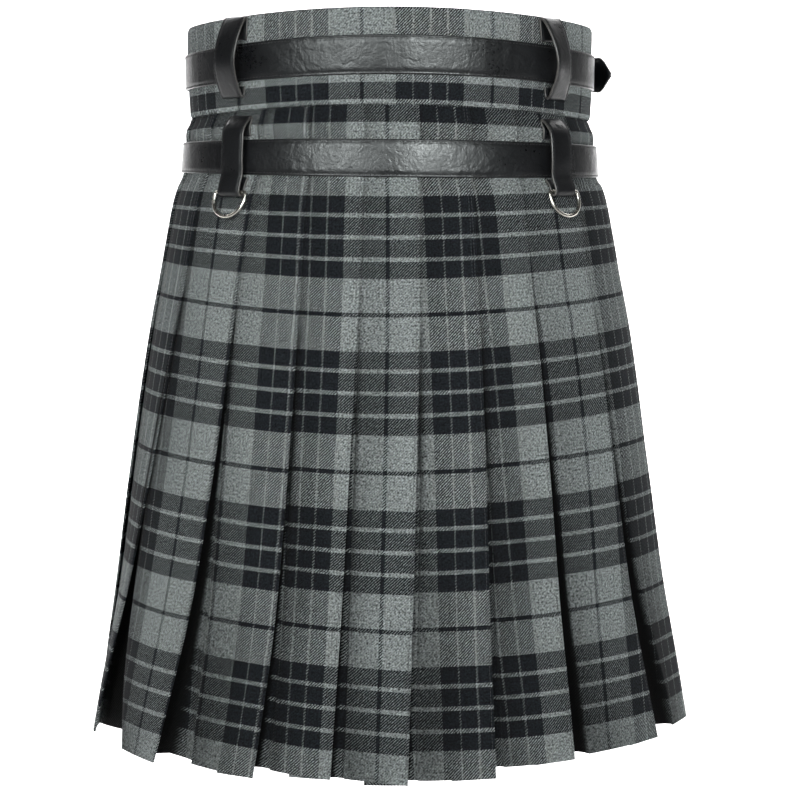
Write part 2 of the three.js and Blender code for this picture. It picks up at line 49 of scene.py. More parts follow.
camera_data = bpy.data.cameras.new("studio_camera")
camera_data.lens = CAMERA_LENS
camera_data.sensor_width = 36
camera_data.clip_start = 0.05
camera_data.clip_end = 60
camera = bpy.data.objects.new("studio_camera", camera_data)
camera.location = CAMERA_PLACE
camera.rotation_euler = (math.radians(90 - CAMERA_TILT), 0, 0)
bpy.context.collection.objects.link(camera)
bpy.context.scene.camera = camera

# ---- studio ----
# A pale seamless paper floor below the hem, in dim white surroundings. Two small gridded soft boxes
# beside the camera light the cloth, two more make only the shine, weak strips on both sides catch the
# edges, and a wash lights the paper behind.

FLOOR_LEVEL = -0.85
FLOOR_FRONT, FLOOR_BACK, FLOOR_HALF_WIDTH = -6.0, 3.2, 7.0
BACKDROP_RADIUS, BACKDROP_TOP = 1.2, 6.0
SURROUND_STRENGTH = 0.06
GRID_SPREAD, WASH_SPREAD = 50, 120  # degrees
# name, place in metres and watts
CLOTH_LIGHTS = (("key_light", (-0.68, -2.05, 0.30), 1.98), ("fill_light", (0.75, -2.05, 0.20), 1.22))
# name, place and width in metres, and watts
GLOSS_LIGHTS = (
    ("gloss_left", (-0.68, -1.83, 0.36), 0.42, 25), ("gloss_right", (0.55, -1.87, 0.39), 0.44, 35),
)


def linear(hex_colour):
    """An sRGB hex colour as linear RGBA."""
    parts = [int(hex_colour[i:i + 2], 16) / 255 for i in (1, 3, 5)]
    return [c / 12.92 if c <= 0.04045 else ((c + 0.055) / 1.055) ** 2.4 for c in parts] + [1.0]


def add_node(tree, kind, inputs=None, **settings):
    """Adds a node with its settings. An input is a value, an output, or a node for its first output."""
    node = tree.nodes.new(kind)
    for name, value in settings.items():
        setattr(node, name, value)
    for key, value in (inputs or {}).items():
        if isinstance(value, bpy.types.Node):
            value = value.outputs[0]
        if isinstance(value, bpy.types.NodeSocket):
            tree.links.new(value, node.inputs[key])
        else:
            node.inputs[key].default_value = value
    return node


def new_material(name):
    """A material with an empty node tree, and that tree."""
    material = bpy.data.materials.new(name)
    material.use_nodes = True
    tree = material.node_tree
    tree.nodes.clear()
    return material, tree


# seamless studio paper: matt and nearly white
paper, tree = new_material("seamless_paper")
fibres = add_node(tree, "ShaderNodeTexNoise", {"Scale": 60.0, "Detail": 3.0})
shade = add_node(tree, "ShaderNodeMapRange", {"Value": fibres, "To Min": 0.93, "To Max": 0.97})
shader = add_node(tree, "ShaderNodeBsdfPrincipled", {"Roughness": 0.9, "Base Color": shade})
add_node(tree, "ShaderNodeOutputMaterial", {"Surface": shader})


def floor_mesh():
    """A floor that curves up into a backdrop far behind the kilt."""
    profile = [(FLOOR_FRONT, 0.0), (FLOOR_BACK, 0.0)]
    for turn in np.linspace(0.1, math.pi / 2, 14):
        rise = BACKDROP_RADIUS - BACKDROP_RADIUS * math.cos(turn)
        profile.append((FLOOR_BACK + BACKDROP_RADIUS * math.sin(turn), rise))
    profile.append((FLOOR_BACK + BACKDROP_RADIUS, BACKDROP_TOP))
    points = [(x, y, FLOOR_LEVEL + z) for y, z in profile for x in (-FLOOR_HALF_WIDTH, FLOOR_HALF_WIDTH)]
    faces = [(2 * i, 2 * i + 1, 2 * i + 3, 2 * i + 2) for i in range(len(profile) - 1)]
    mesh = bpy.data.meshes.new("studio_floor")
    mesh.from_pydata(points, [], faces)
    mesh.shade_smooth()
    mesh.materials.append(paper)
    return mesh


studio_floor = bpy.data.objects.new("studio_floor", floor_mesh())
bpy.context.collection.objects.link(studio_floor)


def soft_box(name, place, aim, size, watts):
    """A rectangular lamp, with its place, size and what it is aimed at in metres."""
    data = bpy.data.lights.new(name, "AREA")
    data.shape = "RECTANGLE"
    data.size, data.size_y = size
    data.energy = watts
    light = bpy.data.objects.new(name, data)
    light.location = place
    light.rotation_euler = (Vector(aim) - Vector(place)).to_track_quat("-Z", "Y").to_euler()
    bpy.context.collection.objects.link(light)
    return light


for name, x in (("rim_left", -2.2), ("rim_right", 2.2)):
    soft_box(name, (x, 0.9, 0.6), (0, 0, -0.3), (0.8, 1.8), 1)
for name, place, watts in CLOTH_LIGHTS:
    gridded = soft_box(name, place, (0, 0, -0.25), (0.5, 0.5), watts)
    gridded.data.spread = math.radians(GRID_SPREAD)  # the light falls off towards the edges and the hem
    gridded.visible_glossy = False
for name, place, width, watts in GLOSS_LIGHTS:
    gloss = soft_box(name, place, (0, 0, -0.08), (width, 0.7), watts)
    gloss.visible_diffuse = False
    gloss.data.color = (0.93, 1.0, 0.99)
wash = soft_box("floor_wash", (0, 3.2, 2.4), (0, 3.0, FLOOR_LEVEL), (7.0, 2.6), 480)
wash.data.spread = math.radians(WASH_SPREAD)  # gridded, so that most of it falls on the paper

world = bpy.data.worlds.new("studio_surround")
world.use_nodes = True
surround = world.node_tree.nodes["Background"]
surround.inputs["Color"].default_value = (1, 1, 1, 1)
surround.inputs["Strength"].default_value = SURROUND_STRENGTH
bpy.context.scene.world = world
bpy.context.scene.view_settings.view_transform = "Standard"

# ---- the garment's shape ----
# Every piece of cloth is placed by an angle round the body, from the back centre to the wearer's right,
# a depth below the top edge, and how far outside the cloth's outline it lies. All in millimetres.

MM = 0.001  # metres
CLOTH = 0.9  # thick
LENGTH = 610
PLEATS_FREE = 230  # the depth at which the pleats' sewing ends
PLY = 1.2  # from one layer of a fold to the next
APRON_PLY = 3.2  # from the over apron in to the under apron
HALF_FLATTENING = 53  # how much less the half depth from front to back is than the half width

# depth, half width, rise at both sides, rise on the wearer's right alone
LEVELS = np.array([
    (0, 170.5, -11, 0), (22, 170.5, -11.5, 0), (54, 170, -9, 0), (77, 169, -9.5, -1),
    (84, 170, -8, -1), (95, 173.5, -5, -1.5), (104, 173, -2.5, -1.5), (135, 175, 2, -2),
    (146, 180, 4, 0), (160, 184, 6, 0), (193, 190, 9, 0), (230, 196, 12.5, 0),
    (270, 203.5, 14, 0.7), (330, 213, 14.5, 2), (400, 223, 12.5, 3), (490, 235, 12, 4),
    (560, 247, 11, 4.5), (610, 255, 10, 5),
], dtype=float)


def smooth_between(knots, values, x):
    """A smooth curve through a table's values that never overshoots them."""
    steps = np.diff(knots)
    slopes = np.diff(values) / steps
    before, after = slopes[:-1], slopes[1:]
    total = np.where(before + after == 0, 1, before + after)
    inner = np.where(before * after > 0, 2 * before * after / total, 0)
    tangents = np.concatenate([[slopes[0]], inner, [slopes[-1]]])
    i = np.clip(np.searchsorted(knots, x) - 1, 0, len(steps) - 1)
    t = (x - knots[i]) / steps[i]
    a, b = values[i], values[i + 1]
    m, n = tangents[i] * steps[i], tangents[i + 1] * steps[i]
    curved = (2 * t**3 - 3 * t**2 + 1) * a + (t**3 - 2 * t**2 + t) * m
    curved = curved + (3 * t**2 - 2 * t**3) * b + (t**3 - t**2) * n
    return np.where(t < 0, a + m * t, np.where(t > 1, b + n * (t - 1), curved))


def body_point(angle, depth, out=0.0):
    """Points at angles in degrees, depths and distances out, which may be arrays."""
    depth = np.asarray(depth, dtype=float)
    half_width, rise, tilt = (smooth_between(LEVELS[:, 0], LEVELS[:, k], depth) for k in (1, 2, 3))
    half_depth = half_width - HALF_FLATTENING
    s, c = np.sin(np.radians(angle)), np.cos(np.radians(angle))
    nx, ny = s / half_width, -c / half_depth
    size = np.hypot(nx, ny)
    x = half_width * s + out * nx / size
    y = -half_depth * c + out * ny / size
    z = -depth + rise * s * s + tilt * s
    return np.stack(np.broadcast_arrays(x, y, z), axis=-1)


def mm_per_degree(angle, depth):
    ends = body_point(angle + 0.5, depth) - body_point(angle - 0.5, depth)
    return np.linalg.norm(ends, axis=-1)


def grid_mesh(name, points, threads=None, ring=False):
    """A mesh through rows of points in mm, each (x, y, z).

    Threads gives the warp and weft places in mm, and from 0 to 1 how much painted shade a fold lays on the
    cloth."""
    rows, columns = points.shape[:2]
    mesh = bpy.data.meshes.new(name)
    index = np.arange(rows * columns).reshape(rows, columns)
    if ring:
        index = np.hstack([index, index[:, :1]])
    a, b = index[:-1, :-1].ravel(), index[1:, :-1].ravel()
    c, d = index[1:, 1:].ravel(), index[:-1, 1:].ravel()
    mesh.from_pydata((points.reshape(-1, 3) * MM).tolist(), [], np.stack([a, b, c, d], 1).tolist())
    if threads is not None:
        attribute = mesh.attributes.new("threads", "FLOAT_VECTOR", "POINT")
        attribute.data.foreach_set("vector", threads.reshape(-1).astype(np.float32))
    mesh.shade_smooth()
    return mesh


def add_piece(name, mesh, material, slot, body, *stands_for):
    """A piece of the kilt that moves with a body and is shown in place of the solids it stands for."""
    piece = bpy.data.objects.new(name, mesh)
    bpy.context.collection.objects.link(piece)
    if material:
        piece.data.materials.append(material)
    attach(piece, body)
    if stands_for:
        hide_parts(*stands_for)
    return piece


def give_thickness(piece, thickness):
    wall = piece.modifiers.new("cloth_thickness", "SOLIDIFY")
    wall.thickness = thickness * MM
    wall.offset = 0
    wall.use_even_offset = True
    wall.thickness_clamp = 0.6


# ---- tartan cloth ----
# A worsted cloth, woven 2/2 twill from light grey and near-black yarn, with a soft nap. The colours of
# warp and weft follow one list of stripes each; where they cross, the twill mixes them. The diagonals
# are 1.7 mm apart, a little coarser than the real yarns, so that they still show.

LIGHT_YARN = "#919897"
DARK_YARN = "#191c20"
TWILL_REPEAT = 2.4
# a twill wave runs from -1 to 1: below the first of these the weft floats, above the second the warp, and
# between them lie the crevices, in painted shade
WEFT_BELOW, WARP_ABOVE = -0.1, 0.58
FLOAT_EDGE = 0.22  # how softly a float ends, in the same measure
WARP_SHADE = 0.74  # painted shade: the warp is thinner and lies a little lower, so its colour is darkened
CREVICE_SHADE = 0.62
YARN_WOBBLE = 0.7  # mm, how far the yarns stray from straight lines
FLECK_CONTRAST, FLECK_LEVEL = 4.2, -1.07
DARKEST_FLECK = 0.1
WARP_SETT = 112.6
WEFT_SETT = 124.3
# where each stripe starts, in mm from the middle of the black line, and whether it is light
WARP_STRIPES = [
    (0, 0), (1.4, 1), (28.1, 0), (41.4, 1), (43.0, 0), (55.6, 1), (57.2, 0), (69.8, 1), (71.4, 0),
    (84.5, 1), (111.2, 0),
]
WEFT_STRIPES = [
    (0, 0), (1.7, 1), (29.2, 0), (42.9, 1), (46.4, 0), (60.4, 1), (63.9, 0), (77.9, 1), (81.4, 0),
    (95.1, 1), (122.6, 0),
]


def stripes(tree, place, sett, rows):
    """Light or dark yarn at a place across the stripes, repeated every sett."""
    share = add_node(tree, "ShaderNodeMath", {0: place, 1: 1 / sett}, operation="MULTIPLY")
    turn = add_node(tree, "ShaderNodeMath", {0: share}, operation="FRACT")
    ramp = add_node(tree, "ShaderNodeValToRGB", {"Fac": turn})
    ramp.color_ramp.interpolation = "CONSTANT"
    stops = ramp.color_ramp.elements
    while len(stops) < len(rows):
        stops.new(0.5)
    for stop, (start, light) in zip(stops, rows):
        stop.position = start / sett
        stop.color = (light, light, light, 1)
    return ramp


def tartan_material(name):
    """Worsted tartan by the warp and weft places in mm that the cloth's threads attribute holds, darkened by
    the painted fold shade in its third value.
    """
    material, tree = new_material(name)
    place = add_node(tree, "ShaderNodeAttribute", attribute_name="threads").outputs["Vector"]
    wobble = add_node(tree, "ShaderNodeTexNoise", {"Vector": place, "Scale": 0.35, "Detail": 2.0})
    shift = add_node(
        tree, "ShaderNodeMath", {0: wobble, 1: YARN_WOBBLE, 2: -YARN_WOBBLE / 2}, operation="MULTIPLY_ADD",
    )
    parts = add_node(tree, "ShaderNodeSeparateXYZ", {"Vector": place})
    warp, weft = (
        add_node(tree, "ShaderNodeMath", {0: parts.outputs[axis], 1: shift}, operation="ADD")
        for axis in ("X", "Y")
    )
    warp_light = stripes(tree, warp, WARP_SETT, WARP_STRIPES)
    weft_light = stripes(tree, weft, WEFT_SETT, WEFT_STRIPES)

    # twill: warp yarn floats over two wefts, stepping one yarn at a time along the diagonal
    diagonal = add_node(tree, "ShaderNodeMath", {0: warp, 1: weft}, operation="ADD")
    per_mm = 2 * math.pi / TWILL_REPEAT
    phase = add_node(tree, "ShaderNodeMath", {0: diagonal, 1: per_mm}, operation="MULTIPLY")
    wave = add_node(tree, "ShaderNodeMath", {0: phase}, operation="SINE")
    yarn = add_node(tree, "ShaderNodeTexNoise", {"Vector": place, "Scale": 1.3, "Detail": 2.0})
    rough_yarn = add_node(tree, "ShaderNodeMath", {0: yarn, 1: 2.0, 2: -1.0}, operation="MULTIPLY_ADD")
    over = add_node(tree, "ShaderNodeMath", {0: wave, 1: rough_yarn}, operation="ADD")
    weft_floats, warp_floats = (
        add_node(tree, "ShaderNodeMapRange", {
            "Value": over, "From Min": level - edge, "From Max": level + edge,
        })
        for level, edge in ((WEFT_BELOW, -FLOAT_EDGE), (WARP_ABOVE, FLOAT_EDGE))
    )
    no_weft = add_node(tree, "ShaderNodeMath", {0: 1.0, 1: weft_floats}, operation="SUBTRACT")
    crevice = add_node(tree, "ShaderNodeMath", {0: no_weft, 1: warp_floats}, operation="SUBTRACT")
    seen_weft, full_warp, both_light = (
        add_node(tree, "ShaderNodeMath", {0: a, 1: b}, operation="MULTIPLY")
        for a, b in ((weft_floats, weft_light), (warp_floats, warp_light), (weft_light, warp_light))
    )
    # painted shade: the light warp floats and the crevices between the floats are darkened
    seen_warp = add_node(tree, "ShaderNodeMath", {0: full_warp, 1: WARP_SHADE}, operation="MULTIPLY")
    deep = add_node(tree, "ShaderNodeMath", {0: both_light, 1: CREVICE_SHADE}, operation="MULTIPLY")
    floats = add_node(tree, "ShaderNodeMath", {0: seen_weft, 1: seen_warp}, operation="ADD")
    seen = add_node(tree, "ShaderNodeMath", {0: deep, 1: crevice, 2: floats}, operation="MULTIPLY_ADD")
    colour = add_node(
        tree, "ShaderNodeMix", {0: seen, 6: linear(DARK_YARN), 7: linear(LIGHT_YARN)}, data_type="RGBA",
    )

    # uneven dye and yarn: streaks along both yarns, and pale flecks of fibre
    streaks = []
    for scale in ((1.1, 0.05, 1.0), (0.05, 1.1, 1.0)):
        drawn = add_node(tree, "ShaderNodeMapping", {"Vector": place, "Scale": scale})
        streaks.append(add_node(tree, "ShaderNodeTexNoise", {"Vector": drawn, "Scale": 1.0}))
    fleck = add_node(tree, "ShaderNodeTexNoise", {"Vector": place, "Scale": 0.62, "Detail": 3.0})
    both = add_node(tree, "ShaderNodeMath", {0: streaks[0], 1: streaks[1]}, operation="ADD")
    uneven = add_node(tree, "ShaderNodeMath", {0: both, 1: 0.6, 2: -0.6}, operation="MULTIPLY_ADD")
    level = add_node(tree, "ShaderNodeMath", {0: uneven, 1: FLECK_LEVEL}, operation="ADD")
    gain = add_node(
        tree, "ShaderNodeMath", {0: fleck, 1: FLECK_CONTRAST, 2: level}, operation="MULTIPLY_ADD",
    )
    gain = add_node(tree, "ShaderNodeMath", {0: gain, 1: DARKEST_FLECK}, operation="MAXIMUM")
    # painted shade: the colour darkens by the fold shade in the threads attribute's third value, as little
    # light reaches into the folds
    painted_lit = add_node(tree, "ShaderNodeMath", {0: 1.0, 1: parts.outputs["Z"]}, operation="SUBTRACT")
    for _ in range(2):
        gain = add_node(tree, "ShaderNodeMath", {0: gain, 1: painted_lit}, operation="MULTIPLY")
    tinted = add_node(
        tree, "ShaderNodeVectorMath", {0: colour.outputs[2], "Scale": gain}, operation="SCALE",
    )
    height = add_node(tree, "ShaderNodeMath", {0: over, 1: fleck}, operation="ADD")
    bump = add_node(tree, "ShaderNodeBump", {"Height": height, "Strength": 0.6, "Distance": 0.00025})
    shader = add_node(tree, "ShaderNodeBsdfPrincipled", {
        "Base Color": tinted,
        "Roughness": 0.9,
        "Specular IOR Level": 0.12,
        "Sheen Weight": 0.03,
        "Sheen Roughness": 0.5,
        "Normal": bump,
    })
    add_node(tree, "ShaderNodeOutputMaterial", {"Surface": shader})
    return material


tartan = tartan_material("worsted_twill_tartan")

# ---- waistband ----
# A strip of the same cloth, folded double and seamed to the pleats along its lower edge. It overlaps
# itself all across the front, with the under apron's end inside.

BAND_DEPTH = 77
BAND_CLOTH = 2.4  # thick, two layers and what is between them
BAND_FROM, BAND_TO, BAND_STEP = -255, 246, 3  # degrees
BAND_BLACK_LINE = -23.1  # mm from the back centre to a black warp line
BAND_WEFT_AT_TOP = -29.8
BAND_MIDDLE = 38
BAND_LAP_FROM, BAND_LAP_OVER = 93, 6  # degrees, where the inner end goes behind the outer one
TOP_ROUND, TOP_ROUND_FROM = 0.5, 3  # mm in at the folded top edge, and the depth where that begins
SEAM_ROUND, SEAM_ROUND_FROM = 1.1, 73.5
RIPPLE, RIPPLES, RIPPLE_TURN, RIPPLE_FALL = 0.35, 7.3, 20, 14  # mm out, number round, degrees, mm
# by angle, the mm of cloth that are eased in where the waist turns round the hips
BAND_EASE = np.array([(-60, -6), (-40, -3.5), (0, 0), (20, 1), (38, 8.5), (67, 18), (95, 20)])

band_depths = np.array([
    0, 0.5, 1.5, 3, 5, 8, 12, 17, 22, 28, 34, 40, 46, 52, 58, 64, 68, 71, 73.5, 75, 76.2, BAND_DEPTH,
])
band_angles = np.arange(BAND_FROM, BAND_TO + 0.1, BAND_STEP).astype(float)
band_depth_grid, band_angle_grid = np.meshgrid(band_depths, band_angles, indexing="ij")
lap = np.clip((band_angle_grid - BAND_LAP_FROM) / BAND_LAP_OVER, 0, 1)
lap = lap * lap * (3 - 2 * lap)
top_round = -TOP_ROUND * np.clip(1 - band_depth_grid / TOP_ROUND_FROM, 0, 1) ** 2
past_round = (band_depth_grid - SEAM_ROUND_FROM) / (BAND_DEPTH - SEAM_ROUND_FROM)
seam_round = -SEAM_ROUND * np.clip(past_round, 0, 1) ** 2
ripple = RIPPLE * np.sin(np.radians(band_angle_grid * RIPPLES + RIPPLE_TURN))
ripple = ripple * np.sin(band_depth_grid / RIPPLE_FALL)
band_out = -BAND_CLOTH / 2 - lap * APRON_PLY + top_round + seam_round + ripple * (1 - lap)
band_points = body_point(band_angle_grid, band_depth_grid, band_out)
middle_row = body_point(band_angles, BAND_MIDDLE)
band_along = np.concatenate([[0], np.cumsum(np.linalg.norm(np.diff(middle_row, axis=0), axis=1))])
band_along -= np.interp(0, band_angles, band_along)
band_along += np.interp(band_angles, *BAND_EASE.T)
band_threads = np.stack([
    np.broadcast_to(band_along - BAND_BLACK_LINE, band_angle_grid.shape),
    band_depth_grid + BAND_WEFT_AT_TOP,
    np.zeros_like(band_angle_grid),
], axis=-1)
waistband = add_piece(
    "waistband_cloth", grid_mesh("waistband_cloth", band_points, band_threads), tartan, "tartan", "kilt",
    "waistband",
)
give_thickness(waistband, BAND_CLOTH)

# ---- knife pleats ----
# One length of cloth, laid in twelve pleats that all face the wearer's right. Each is sewn down along
# its folded edge to the hip and hangs free below, where it swings a little open.

# The folded edge's angles at the seam, at the end of the sewing and at the hem, the angle at the hem of
# the crease where the next panel comes forward, how deep the pleat is there in mm, how late the edge and
# the crease swing, the warp place at the edge at the top and at the hem, how far the edge lifts, and how
# far the panel that ends in it is drawn up at the hem, at its left side and at its edge.
Pleat = namedtuple("Pleat", (
    "seam", "hip", "hem", "crease", "pocket", "edge_late", "crease_late", "warp_top", "warp_hem", "lift",
    "left_rise", "edge_rise",
))
PLEATS = [Pleat(*row) for row in (
    (-97, -99, -115, -112, 12, 1.5, 1.5, 2, 2, 0.8, 0, 0),
    (-78, -79.5, -98, -95, 13, 2, 2, 42, 42, 1.2, 0, 0),
    (-58, -59.6, -81, -62.5, 25, 1.9, 1, 82, 82, 0.6, 0, 0),
    (-36.5, -38.8, -48.6, -39.7, 19, 2, 1, 32, 29, 1.2, 0.5, 0),
    (-22, -21.3, -25.1, -22.4, 11, 2.5, 3, 60.7, 60.7, 0.8, 4.5, 1),
    (-6.5, -7, -10.4, -8.5, 9, 1, 1, 100, 95, 1.4, 8, 4),
    (8.3, 7.2, 3.3, 4.8, 8, 1, 1, 139.1, 137.6, 0.9, 4, -1),
    (22.5, 21.4, 19.3, 20.8, 9, 1, 1, 182, 182, 1.5, 1.5, 0),
    (37, 36.2, 35.6, 39.3, 24, 1, 1, 223.6, 223.6, 0.6, 7, 5.5),
    (58.5, 56.9, 60.2, 71.5, 28, 4, 2.1, 253.2, 283.2, 0.5, 6, 4),
    (78, 78, 82, 85.5, 14, 2, 2, 290, 318, 1.0, 4, 3),
    (97, 98, 101, 104, 12, 1, 1, 330, 352, 0.8, 2, 1),
)]
LATE_WARP_PLEAT, WARP_LATE = 9, 2.2  # the cloth of this one runs slantwise only below the hip
TUCK_TOP, TUCK_HEM = 26, 34
# how far in a panel lies at the crease at its left, where it is sewn and at the hem, and how late it rises
SEWN_DROP, CREASE_DROP, DROP_CURVE = 1.8 * PLY, 4.5, 1.3
# a panel's slow bulge, where it is sewn and how much more at the hem, its wave down and its shift to the next
BELLY_SEWN, BELLY_FREE, BELLY_WAVE, BELLY_SHIFT = 0.25, 0.9, 61, 2.1
# painted shade: these numbers darken the cloth's colour inside the pleats and just beyond their creases
DARK_FROM = 7.5  # mm inside the folds, where no light reaches and the painted shade is full
WIDE_OPEN = 20  # mm deep at the hem: such a pleat is painted black inside, and the others only in painted shade
SHADE_OPENED = 0.25
SHADE_SEWN, SHADE_FREE, SHADE_REACH = 0.25, 0.85, 3.2  # beyond a crease, and for so many mm
SHADE_GAP = 6  # mm from the folded edge to the crease, at which the pleat counts as opened
GAP_LIGHT = 0.6  # how much of that shade an opened pleat takes away
FOLD_REACH = 2  # mm from a folded edge or a crease to the flat cloth
SKIRT_TOP = 77.3  # the rows above this depth have its places, turned in
FOLD_RADIUS = PLY / 2
STITCH_LINE = 2.6  # mm from the folded edge
HEM_ALLOWANCE = 16
LIFT_LATE = 1.3  # how late the panels' hems are drawn up
BOWED_PLEAT, CREASE_BOW, BOW_LATE = 2, 6.3, 1.55  # its crease bows forwards, by so many degrees
STITCH_DENT, DENT_REACH = 0.3, 0.55  # how deep a row of stitches pulls the cloth in, and how wide
FOLD_CLOTH = 2.5  # mm of cloth that go round a folded edge
# depth below the top edge and weft place in mm from the middle of a black line
WEFT_PLACES = np.array([
    (66, -55), (77.8, -42.9), (90, -30.6), (121.5, 0), (150.3, 29.2), (216.3, 95.1), (244.7, 124.3),
    (273.5, 153.5), (398.3, 277.8), (521.8, 402.1), (622, 503.0),
])


def weft_at(depth):
    return np.interp(depth, WEFT_PLACES[:, 0], WEFT_PLACES[:, 1])


def free_share(depth):
    return float(np.clip((depth - PLEATS_FREE) / (LENGTH - PLEATS_FREE), 0, 1))


def mix(a, b, share):
    return a + (b - a) * share


def opened_share(depth):
    """From 0 to 1, how far the pleats are open: wholly so, soon below the end of their sewing."""
    return min(1, 4 * free_share(depth))


def pocket_depth(n, depth):
    return mix(2 * PLY, PLEATS[n].pocket, free_share(depth))


def tuck_width(depth):
    return mix(TUCK_TOP, TUCK_HEM, free_share(depth))


def edge_angle(n, depth):
    """The angle of the folded edge of pleat n."""
    pleat = PLEATS[n]
    if depth < PLEATS_FREE:
        return mix(pleat.seam, pleat.hip, (depth - BAND_DEPTH) / (PLEATS_FREE - BAND_DEPTH))
    return mix(pleat.hip, pleat.hem, free_share(depth) ** pleat.edge_late)


def crease_angle(n, depth):
    """The angle of the crease beyond pleat n, where the next panel comes forward."""
    if depth < PLEATS_FREE:
        return edge_angle(n, depth)
    pleat, free = PLEATS[n], free_share(depth)
    bowed = CREASE_BOW * math.sin(math.pi * free**BOW_LATE) if n == BOWED_PLEAT else 0
    return mix(pleat.hip, pleat.crease, free**pleat.crease_late) - bowed


def edge_warp(n, depth):
    share = np.clip((depth - BAND_DEPTH) / (LENGTH - BAND_DEPTH), 0, 1)
    if n == LATE_WARP_PLEAT:
        share = free_share(depth) ** WARP_LATE
    return mix(PLEATS[n].warp_top, PLEATS[n].warp_hem, share)


def panel_share(n, angle, depth):
    """How far across panel n an angle is, from the crease at its left to its folded edge."""
    start = crease_angle(n - 1, depth)
    return (angle - start) / (edge_angle(n, depth) - start)


def panel_drop(share, depth):
    """How far in a panel lies at a share of its width, from its crease to its folded edge."""
    return mix(SEWN_DROP, CREASE_DROP, free_share(depth)) * np.clip(1 - share, 0, 1) ** DROP_CURVE


def panel_lift(n, share, depth):
    """How far up the swing of a panel has drawn the cloth."""
    return mix(PLEATS[n].left_rise, PLEATS[n].edge_rise, share) * free_share(depth) ** LIFT_LATE


def panel_out(n, angle, depth):
    """How far out the face of the cloth of panel n lies at an angle: nil or less where it is sewn."""
    edge, share, free = edge_angle(n, depth), panel_share(n, angle, depth), free_share(depth)
    lift = PLEATS[n].lift * free**0.7 * np.clip(share, 0, 1) ** 4
    wave = (BELLY_FREE * free + BELLY_SEWN) * math.sin(depth / BELLY_WAVE + BELLY_SHIFT * n)
    belly = wave * np.sin(np.pi * np.clip(share, 0, 1))
    from_edge = (edge - angle) * mm_per_degree(edge, depth)
    groove = STITCH_DENT * np.exp(-((from_edge - STITCH_LINE) / DENT_REACH) ** 2)
    return -panel_drop(share, depth) + lift + belly - groove


PANEL_SHARES = np.array([0, 0.07, 0.16, 0.27, 0.39, 0.51, 0.62, 0.72, 0.81, 0.88]) / 0.96
BELLY_PLACE = 8  # of the panel's shares, the one above the inner end of the tuck
EDGE_STEPS = np.array([6.0, 4.4, 3.4, 2.9, 2.6, 2.3, 1.9])  # mm from the folded edge
FOLD_TURNS = np.radians([60, 30, 0, -35, -70])
INNER_TURNS = np.radians([60, 0, -60])
TUCK_SHARES = (0, 0.35, 0.7, 1)
CREASE_SHARES = (0.2, 0.4, 0.6, 0.8)


def pleat_places(n, depth):
    """Across panel n, round its folded edge and back beneath: angle, out, warp place and lift.

    The first pleat ends the over apron, so it has no panel here."""
    edge, tuck, warp = edge_angle(n, depth), tuck_width(depth), edge_warp(n, depth)
    scale = mm_per_degree(edge, depth)
    reach = FOLD_REACH / scale
    inner = edge - tuck / scale
    rows = []
    lip, drop, belly = -CLOTH / 2, 0, 0
    if n:
        near = edge - EDGE_STEPS[0] / scale
        flat = mix(crease_angle(n - 1, depth) + reach, near, PANEL_SHARES)
        angles = np.concatenate([flat, edge - EDGE_STEPS / scale])
        outs = panel_out(n, angles, depth) - CLOTH / 2
        shares = panel_share(n, angles, depth)
        rows += list(zip(angles, outs, warp - (edge - angles) * scale, panel_lift(n, shares, depth)))
        lip = outs[-1]
        drop = panel_drop(panel_share(n, inner, depth), depth)
        belly = outs[BELLY_PLACE] + CLOTH / 2 + panel_drop(shares[BELLY_PLACE], depth)
    lift = panel_lift(n, 1, depth)
    for turn in FOLD_TURNS:
        angle = edge - (CLOTH / 2 + FOLD_RADIUS * (1 - math.cos(turn))) / scale
        out = lip - FOLD_RADIUS + FOLD_RADIUS * math.sin(turn)
        rows.append((angle, out, warp + FOLD_RADIUS * (FOLD_TURNS[0] - turn - 1), lift))
    for share in TUCK_SHARES:
        angle = mix(edge - reach, inner, share)
        out = mix(lip - PLY, -CLOTH / 2 - PLY - drop + belly, share)
        rows.append((angle, out, warp + FOLD_CLOTH + share * (tuck - FOLD_CLOTH), lift))
    return rows


def under_places(n, depth, after):
    """Round the hidden inner fold of pleat n and out again beneath it, to the place after."""
    scale = mm_per_degree(edge_angle(n, depth), depth)
    back = pleat_places(n, depth)[-1]
    pocket, tuck = pocket_depth(n, depth), tuck_width(depth)
    rows = []
    if n:
        for turn in INNER_TURNS:
            rows.append((
                back[0] - FOLD_RADIUS * math.cos(turn) / scale,
                back[1] - FOLD_RADIUS + FOLD_RADIUS * math.sin(turn),
                mix(back[2], after[2] - tuck, 0.5 - math.sin(turn) / 2),
                back[3],
            ))
    for share in TUCK_SHARES:
        rows.append((
            mix(back[0], after[0], share),
            mix(back[1] - PLY, -CLOTH / 2 - pocket, share),
            after[2] - tuck * (1 - share),
            mix(back[3], after[3], share),
        ))
    return rows


def crease_places(n, depth, after):
    """From beneath pleat n out round the crease to the next panel's first place, after."""
    edge = edge_angle(n, depth)
    scale = mm_per_degree(edge, depth)
    opened = opened_share(depth)  # an opened pleat is deep right up to the next panel
    angle, out = edge - FOLD_REACH / scale, -CLOTH / 2 - pocket_depth(n, depth)
    length = math.hypot((after[0] - angle) * scale, after[1] - out)
    rows = under_places(n, depth, (angle, out, after[2] - length, after[3]))
    turn = (mix(angle, after[0], mix(0.6, 1.05, opened)), mix(out, after[1], mix(0.85, 0.1, opened)))
    for share in CREASE_SHARES:
        near, far = (1 - share) ** 2, share**2
        rows.append((
            near * angle + 2 * share * (1 - share) * turn[0] + far * after[0],
            near * out + 2 * share * (1 - share) * turn[1] + far * after[1],
            after[2] - length * (1 - share),
            after[3],
        ))
    return rows


def pleated_row(depth):
    rows = []
    for n in range(1, len(PLEATS)):
        panel = pleat_places(n, depth)
        rows += crease_places(n - 1, depth, panel[0]) + panel
    return rows


